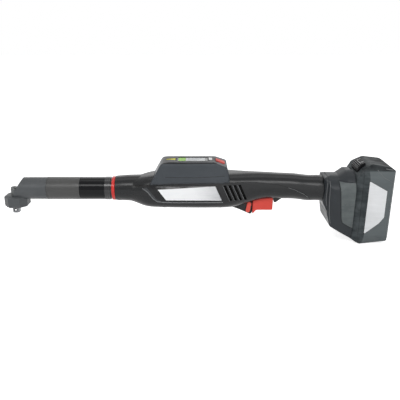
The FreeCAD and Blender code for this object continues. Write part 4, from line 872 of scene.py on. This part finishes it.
@dataclass
class GearTube:
    """Gearbox tube, transducer sleeve and union nut, with the drive line inside."""

    def build(self) -> None:
        """Dress the nodes."""
        dress(Palette.tube, "gearbox_tube")
        dress(Palette.sleeve, "transducer_sleeve")
        dress(Palette.collar, "union_collar")
        dress(Palette.red_ring, "red_ring")
        dress(Palette.gear_steel, "ring_gear", "planet_gear_a", "planet_gear_b", "planet_gear_c",
              "planet_carrier")
        dress(Palette.shaft_steel, "planet_pins", "drive_shaft", "shaft_bearing", "torque_transducer",
              "shaft_coupling", "motor_bearings")
        dress(Palette.collar, "motor_flange")
        dress(Palette.aluminium, "motor_can", "motor_end_bell")
        dress(Palette.iron, "motor_stator", "motor_rotor")


@dataclass
class Handle:
    """Moulded body halves with what is set into them.

    Attributes:
        swell: the nose swell's outline, as (place along, radius), its middle swell_lift up.
        lip: the raised lip's line, laid as a bead in the painted highlight colour.
        seam: the rear end of the seam, whose painted highlight edge runs seam_drop below it.
        plate: the side plate's corners, whose dark rim of painted shade lies at least rim_reach out.
        vent: the middle of the first vent slot, from its top to its bottom.
        vent_edge: how far in front of a slot's middle its painted highlight edge runs, cut at both ends by
            vent_trim.
    """

    swell: Line = (
        (152.35, 17.7), (156.0, 18.2), (162.0, 18.7), (168.0, 19.15), (173.0, 19.4), (182.0, 19.6),
        (192.0, 19.8))
    swell_bore: float = 15.0
    swell_lift: float = 0.7
    lip: Line = (
        (193.8, 7.3), (198.2, 4.7), (202.2, 1.7), (208.7, -7.0), (214.2, -11.5), (223.8, -12.9),
        (243.2, -13.2), (284.6, -13.0), (309.6, -12.9))
    lip_bead: Bead = Bead(0.8, flowing=True)
    seam: Line = ((404.0, 7.2), (413.0, 4.2), (427.0, -2.6), (434.0, -8.2))
    seam_drop: float = 0.4
    seam_bead: Bead = Bead(0.3, flowing=True)
    plate: Line = ((211.8, 11.6), (298.4, 12.0), (308.4, -10.2), (227.3, -9.8))
    rim_reach: float = 27.4
    rim_bead: Bead = Bead(0.45, Palette.rim, closed=True)
    vent: Line = ((311.4, 12.6), (321.4, -10.8))
    vent_pitch: float = 7.2
    vent_count: int = 4
    vent_edge: float = 2.35
    vent_trim: Place = (0.4, 0.2)
    slot_bead: Bead = Bead(0.45)
    step: float = 3.0
    rim_step: float = 2.5

    def build(self) -> None:
        """Dress the nodes and lay the nose swell, lips, beads and slot edges."""
        dress(Palette.housing, "housing_upper", "housing_lower")
        dress(Palette.black, "trigger_switch", "cooling_fan")
        dress(Palette.shaded_louvre, "vent_grilles")
        dress(Palette.blackened, "housing_screws")
        dress(Palette.board, "control_board")
        dress(Palette.plate, "side_plate")
        skin = Skin("housing_lower", "housing_upper")
        self._nose_swell()
        self._lips(skin)
        self._plate_rim(skin)
        self._slot_edges(skin)

    def _nose_swell(self) -> None:
        """Add the smooth swell that carries the body on from the red ring."""
        start = self.swell[0][0]
        shell = [(radius, x - start) for x, radius in self.swell]
        profile = [(self.swell_bore, shell[0][1]), *shell, (self.swell_bore, shell[-1][1])]
        nose = Piece("nose_swell").turned(profile, (start, 0.0, self.swell_lift), Axis.ALONG)
        nose.done(Palette.housing, "tool", "black_plastic")

    def _lips(self, skin: Skin) -> None:
        """Lay the raised lip in front of and below the plate in painted highlight colour, and a painted
        highlight on the seam's rear edge, on both sides.
        """
        seam = [(x, z - self.seam_drop) for x, z in self.seam]
        for name, line, bead in (("housing_lip", self.lip, self.lip_bead),
                                 ("seam_edge", seam, self.seam_bead)):
            for side in Side:
                bead.lay(f"{name}_{side.tag()}", skin.from_side(along(line, self.step), side))

    def _plate_rim(self, skin: Skin) -> None:
        """Lay a dark bead of painted shade round the plate, for the groove round its recess."""
        reach = -self.rim_reach * MILLIMETRE
        points = skin.from_side(along(self.plate, self.rim_step, closed=True))
        self.rim_bead.lay("plate_rim", [Vector((x, min(y, reach), z)) for x, y, z in points])

    def _slot_edges(self, skin: Skin) -> None:
        """Lay a painted highlight bead on the moulded front edge of each vent slot, on both sides."""
        (top_x, top_z), (low_x, low_z) = self.vent
        drop, rise = self.vent_trim
        for side in Side:
            for k in range(self.vent_count):
                shift = k * self.vent_pitch - self.vent_edge
                line = ((top_x + shift, top_z - drop), (low_x + shift, low_z + rise))
                points = skin.from_side(along(line, self.step), side)
                self.slot_bead.lay(f"slot_edge_{side.tag()}_{k + 1}", points)


@dataclass
class Pod:
    """Electronics pod with its display, arrow and keys.

    Attributes:
        deck: the height of its top, with the screen's fields from recess below it.
        display: the ends of the display pane.
        green: where the green field starts and ends, behind the pane's front end.
        white: how far the white field starts behind the green one and ends before the pane does.
        bar: half a grey bar's width, how far it sinks into the white field and how far it stands out.
        bar_start: how far behind the green field the bars start.
        bar_end: how far before the pane's rear end the first bar ends, each further one bar_step more.
        bar_top: how far the first bar lies inside the fields' far edge.
        foot: the thin parting groove above the pod's foot, laid as a dark bead of painted shade.
    """

    deck: float = 44.4
    recess: float = 0.4
    display: Place = (243.5, 287.5)
    display_half: float = 10.4
    frame_bead: Bead = Bead(0.3, slot="grey_plastic", closed=True)
    field_half: float = 8.2
    field_height: float = 0.08
    green: Place = (1.6, 12.0)
    white: Place = (0.4, 4.0)
    bar: Point = (0.8, 0.02, 0.04)
    bar_count: int = 3
    bar_start: float = 3.0
    bar_end: float = 8.0
    bar_step: float = 4.0
    bar_top: float = 3.2
    bar_pitch: float = 5.2
    foot: Line = ((227.0, 24.6), (233.0, 24.3), (268.0, 23.8), (311.5, 25.8))
    foot_bead: Bead = Bead(0.28, Palette.rim)
    step: float = 3.0

    def build(self) -> None:
        """Dress the nodes and add the screen's fields, its frame and a dark bead of painted shade along the
        parting line.
        """
        dress(Palette.pod, "electronics_pod")
        dress(Palette.window, "display_window")
        dress(Palette.board, "pod_boards")
        dress(Palette.arrow, "arrow_light")
        dress(Palette.white_key, "white_key")
        dress(Palette.trigger, "red_key")
        self._fields()
        self._frame()
        skin = Skin("electronics_pod")
        for side in Side:
            self.foot_bead.lay(f"pod_line_{side.tag()}", skin.from_side(along(self.foot, self.step), side))

    def _fields(self) -> None:
        """Add the screen's lit fields, a green one and a white one with grey bars."""
        front, rear = self.display
        half, low = self.field_half, self.deck - self.recess
        high = low + self.field_height
        green_start, green_end = (front + part for part in self.green)
        green = Piece("screen_field_green").block((green_start, -half, low), (green_end, half, high))
        green.done(Palette.lit_green, "tool", "screen", smooth=False)
        white = Piece("screen_field_white").block(
            (green_end + self.white[0], -half, low), (rear - self.white[1], half, high))
        white.done(Palette.lit_white, "tool", "screen", smooth=False)
        bars = Piece("screen_bars")
        width, sink, rise = self.bar
        for k in range(self.bar_count):
            y = half - self.bar_top - self.bar_pitch * k
            bars.block((green_end + self.bar_start, y - width, high - sink),
                       (rear - self.bar_end - self.bar_step * k, y + width, high + rise))
        bars.done(Palette.lit_grey, "tool", "screen", smooth=False)

    def _frame(self) -> None:
        """Lay the slim frame round the display pane."""
        (front, rear), half = self.display, self.display_half
        places = ((front, -half), (rear, -half), (rear, half), (front, half))
        self.frame_bead.lay("display_frame", [spot(x, y, self.deck) for x, y in places])


@dataclass
class Controls:
    """Trigger and direction selector."""

    def build(self) -> None:
        """Dress the nodes."""
        dress(Palette.trigger, "trigger")
        dress(Palette.selector, "direction_selector")
        dress(Palette.shaft_steel, "trigger_spring")


@dataclass
class Foot:
    """Battery adaptor at the rear of the handle, with its ridges behind the front edge laid as beads in
    painted highlight colour.
    """

    ridges: tuple[Line, ...] = (
        ((460.2, 18.6), (459.6, 4.0), (459.7, -11.0), (461.2, -22.0)),
        ((463.0, 17.6), (463.4, -9.4), (464.6, -30.0), (466.9, -46.0)))
    ridge_bead: Bead = Bead(0.4, flowing=True)
    step: float = 2.0

    def build(self) -> None:
        """Dress the nodes and lay the ridges' painted highlight lines on both sides."""
        dress(Palette.foot, "battery_adaptor")
        dress(Palette.contacts, "terminal_block")
        skin = Skin("battery_adaptor")
        for side in Side:
            for k, line in enumerate(self.ridges):
                points = skin.from_side(along(line, self.step), side)
                self.ridge_bead.lay(f"foot_ridge_{side.tag()}_{k + 1}", points)


@dataclass
class Battery:
    """Slide-on pack with its cells, latch and label.

    Attributes:
        label: the label's corners, whose dark rim of painted shade lies label_reach out.
        corner: the moulded step on the rear upper corner.
        notch: the short notch beside the top, as places along and across.
        ribs: the heights of the latch's ribs, and rib_half half their length.
        mark: the open mark on the latch, likewise.
    """

    label: Line = ((514.6, 22.5), (540.6, 8.0), (540.8, -32.0), (534.4, -41.0), (514.6, -57.6))
    label_reach: float = 38.05
    label_bead: Bead = Bead(0.5, Palette.rim, "battery", closed=True)
    corner: Line = ((526.6, 36.6), (528.2, 34.6), (533.9, 27.5), (545.5, 21.6), (549.0, 20.2))
    step_bead: Bead = Bead(0.35, body="battery", slot="battery_plastic", flowing=True)
    notch: Line = ((538.6, 28.4), (547.6, 29.4))
    notch_bead: Bead = Bead(0.7, body="battery", slot="battery_plastic")
    ribs: tuple[float, ...] = (34.6, 36.7, 38.8, 40.6)
    rib_half: float = 12.6
    rib_bead: Bead = Bead(0.35, body="latch")
    before_latch: float = 480.0
    mark: Line = ((512.3, 7.4), (507.6, 7.4), (507.6, -7.4), (512.3, -7.4))
    mark_bead: Bead = Bead(0.45, Palette.pale_mark, "latch")
    step: float = 2.0
    notch_step: float = 3.0

    def build(self) -> None:
        """Dress the nodes and lay the outlines."""
        dress(Palette.battery, "battery_case", "battery_front_cover")
        dress(Palette.black, "battery_latch", "cell_holder")
        dress(Palette.cell, "battery_cells")
        dress(Palette.label, "battery_label")
        self.label_bead.lay("label_rim", [spot(x, -self.label_reach, z) for x, z in self.label])
        self._side_lines()
        self._latch_lines()

    def _side_lines(self) -> None:
        """Lay painted highlight lines on the moulded step and the notch of each side's rear upper corner."""
        skin = Skin("battery_case", "battery_front_cover")
        for side in Side:
            points = skin.from_side(along(self.corner, self.step), side)
            self.step_bead.lay(f"battery_step_{side.tag()}", points)
            points = skin.from_above([(x, side.value * y) for x, y in along(self.notch, self.notch_step)])
            self.notch_bead.lay(f"battery_notch_{side.tag()}", points)

    def _latch_lines(self) -> None:
        """Lay painted highlights on the edges of the latch's ribs, and the open mark on its top."""
        skin = Skin("battery_latch")
        for k, z in enumerate(self.ribs):
            starts = [spot(self.before_latch, y, z) for y in (-self.rib_half, 0.0, self.rib_half)]
            self.rib_bead.lay(f"latch_rib_edge_{k + 1}", skin.meet(starts, Axis.ALONG.vector()))
        self.mark_bead.lay("latch_mark", skin.from_above(along(self.mark, self.step)))


@dataclass(frozen=True)
class Lamp:
    """A soft rectangular lamp: where it hangs, what it faces, its size in metres and its power in watts."""

    name: str
    place: Point
    aim: Point
    size: Place
    power: float

    def hang(self) -> None:
        """Put the lamp into the scene."""
        data = bpy.data.lights.new(self.name, "AREA")
        data.shape = "RECTANGLE"
        data.size, data.size_y = self.size
        data.energy = self.power
        face(show(self.name, data), self.place, self.aim)


def face(thing: bpy.types.Object, place: Point, aim: Point) -> None:
    """Put a lamp or a camera at a place, in metres, and turn it to a point."""
    thing.location = place
    thing.rotation_euler = (Vector(aim) - Vector(place)).to_track_quat("-Z", "Y").to_euler()


def seen(bench: Bench) -> Socket:
    """Return 1 for rays that come from the eye, a reflection or a clear piece."""
    path = bench.place("ShaderNodeLightPath").outputs
    gloss = bench.calc("MAXIMUM", path["Is Camera Ray"], path["Is Glossy Ray"])
    return bench.calc("MAXIMUM", gloss, path["Is Transmission Ray"])


@dataclass
class Studio:
    """Pale floor, soft lamps and the camera of the photograph."""

    target: Point = (0.2764, 0.0, 0.0185)
    eye: Point = (0.2764, -0.70477, 0.27502)
    lens: float = 45.0
    sensor: float = 36.0
    floor_half: float = 4.0
    floor_drop: float = 0.0006
    floor_shades: tuple[Colour, Colour] = ((0.9, 0.9, 0.9), (0.92, 0.92, 0.92))
    floor_roughness: float = 0.9
    floor_glow: float = 0.8
    sky: Colour = (0.95, 0.97, 1.0)
    sky_strength: float = 0.18
    lamps: tuple[Lamp, ...] = (
        Lamp("key lamp", (0.35, -1.05, 1.2), (0.28, 0.0, 0.0), (1.5, 0.45), 12.5),
        Lamp("fill lamp", (0.65, -1.5, 0.45), (0.3, 0.0, 0.0), (1.2, 1.2), 4.0),
        Lamp("side lamp", (-0.6, -1.0, 0.75), (0.25, 0.0, 0.0), (0.35, 0.7), 2.2),
        Lamp("top lamp", (0.28, 0.25, 1.4), (0.28, 0.0, 0.0), (1.6, 0.5), 2.5),
        Lamp("back lamp", (0.3, 1.3, 0.8), (0.3, 0.0, 0.0), (1.4, 0.6), 3.0))

    def build(self) -> None:
        """Make the floor, the world, the lamps and the camera."""
        self._floor()
        self._world()
        for lamp in self.lamps:
            lamp.hang()
        self._camera()

    def _floor(self) -> None:
        """Lay a pale floor that keeps the shadow and shows white to the eye and to reflections."""
        level = min(CAD_BOUNDS[0][2], 0.0) - self.floor_drop
        mesh = bmesh.new()
        bmesh.ops.create_grid(mesh, x_segments=1, y_segments=1, size=self.floor_half,
                              matrix=Matrix.Translation((self.target[0], 0.0, level)))
        data = bpy.data.meshes.new("floor")
        mesh.to_mesh(data)
        mesh.free()
        floor = show("floor", data)
        data.materials.append(self._floor_material())

    def _floor_material(self) -> bpy.types.Material:
        """Make the floor's material.

        Returns:
            The material.
        """
        material = bpy.data.materials.new("pale floor")
        material.use_nodes = True
        bench = Bench(material.node_tree)
        shader = material.node_tree.nodes["Principled BSDF"]
        tone = bench.noise(bench.here(), scale=3.0)
        shade = bench.blend(tone, *self.floor_shades)
        bench.feed(shader, {"Base Color": shade, "Roughness": self.floor_roughness})
        glow = bench.place("ShaderNodeEmission", {"Color": WHITE, "Strength": self.floor_glow})
        both = bench.place("ShaderNodeAddShader", {0: shader.outputs[0], 1: glow.outputs[0]})
        sockets = {0: seen(bench), 1: shader.outputs[0], 2: both.outputs[0]}
        mixed = bench.place("ShaderNodeMixShader", sockets)
        bench.feed(material.node_tree.nodes["Material Output"], {"Surface": mixed.outputs[0]})
        return material

    def _world(self) -> None:
        """Make the surroundings white for the eye and for gloss, and else a soft level of light."""
        world = bpy.data.worlds.new("studio")
        bpy.context.scene.world = world
        world.use_nodes = True
        bench = Bench(world.node_tree)
        plain = world.node_tree.nodes["Background"]
        bench.feed(plain, {"Color": paint(self.sky), "Strength": self.sky_strength})
        white = bench.place("ShaderNodeBackground", {"Color": WHITE, "Strength": 1.0})
        sockets = {0: seen(bench), 1: plain.outputs[0], 2: white.outputs[0]}
        mixed = bench.place("ShaderNodeMixShader", sockets)
        bench.feed(world.node_tree.nodes["World Output"], {"Surface": mixed.outputs[0]})

    def _camera(self) -> None:
        """Set the camera at the photograph's angle."""
        data = bpy.data.cameras.new("camera")
        data.lens, data.sensor_width = self.lens, self.sensor
        camera = show("camera", data)
        face(camera, self.eye, self.target)
        bpy.context.scene.camera = camera


def corners(bounds: Any) -> list[list[float]]:
    """Return a box as plain lists of numbers."""
    return [[float(part) for part in corner] for corner in bounds]


def main() -> None:
    """Build the tool's looks and the studio."""
    logging.basicConfig(level=logging.INFO)
    for assembly in (AngleHead(), GearTube(), Handle(), Pod(), Controls(), Foot(), Battery(), Studio()):
        assembly.build()
        LOG.info("built %s", type(assembly).__name__)
    bpy.context.scene.view_settings.view_transform = "Standard"


if __name__ == "__main__":
    main()
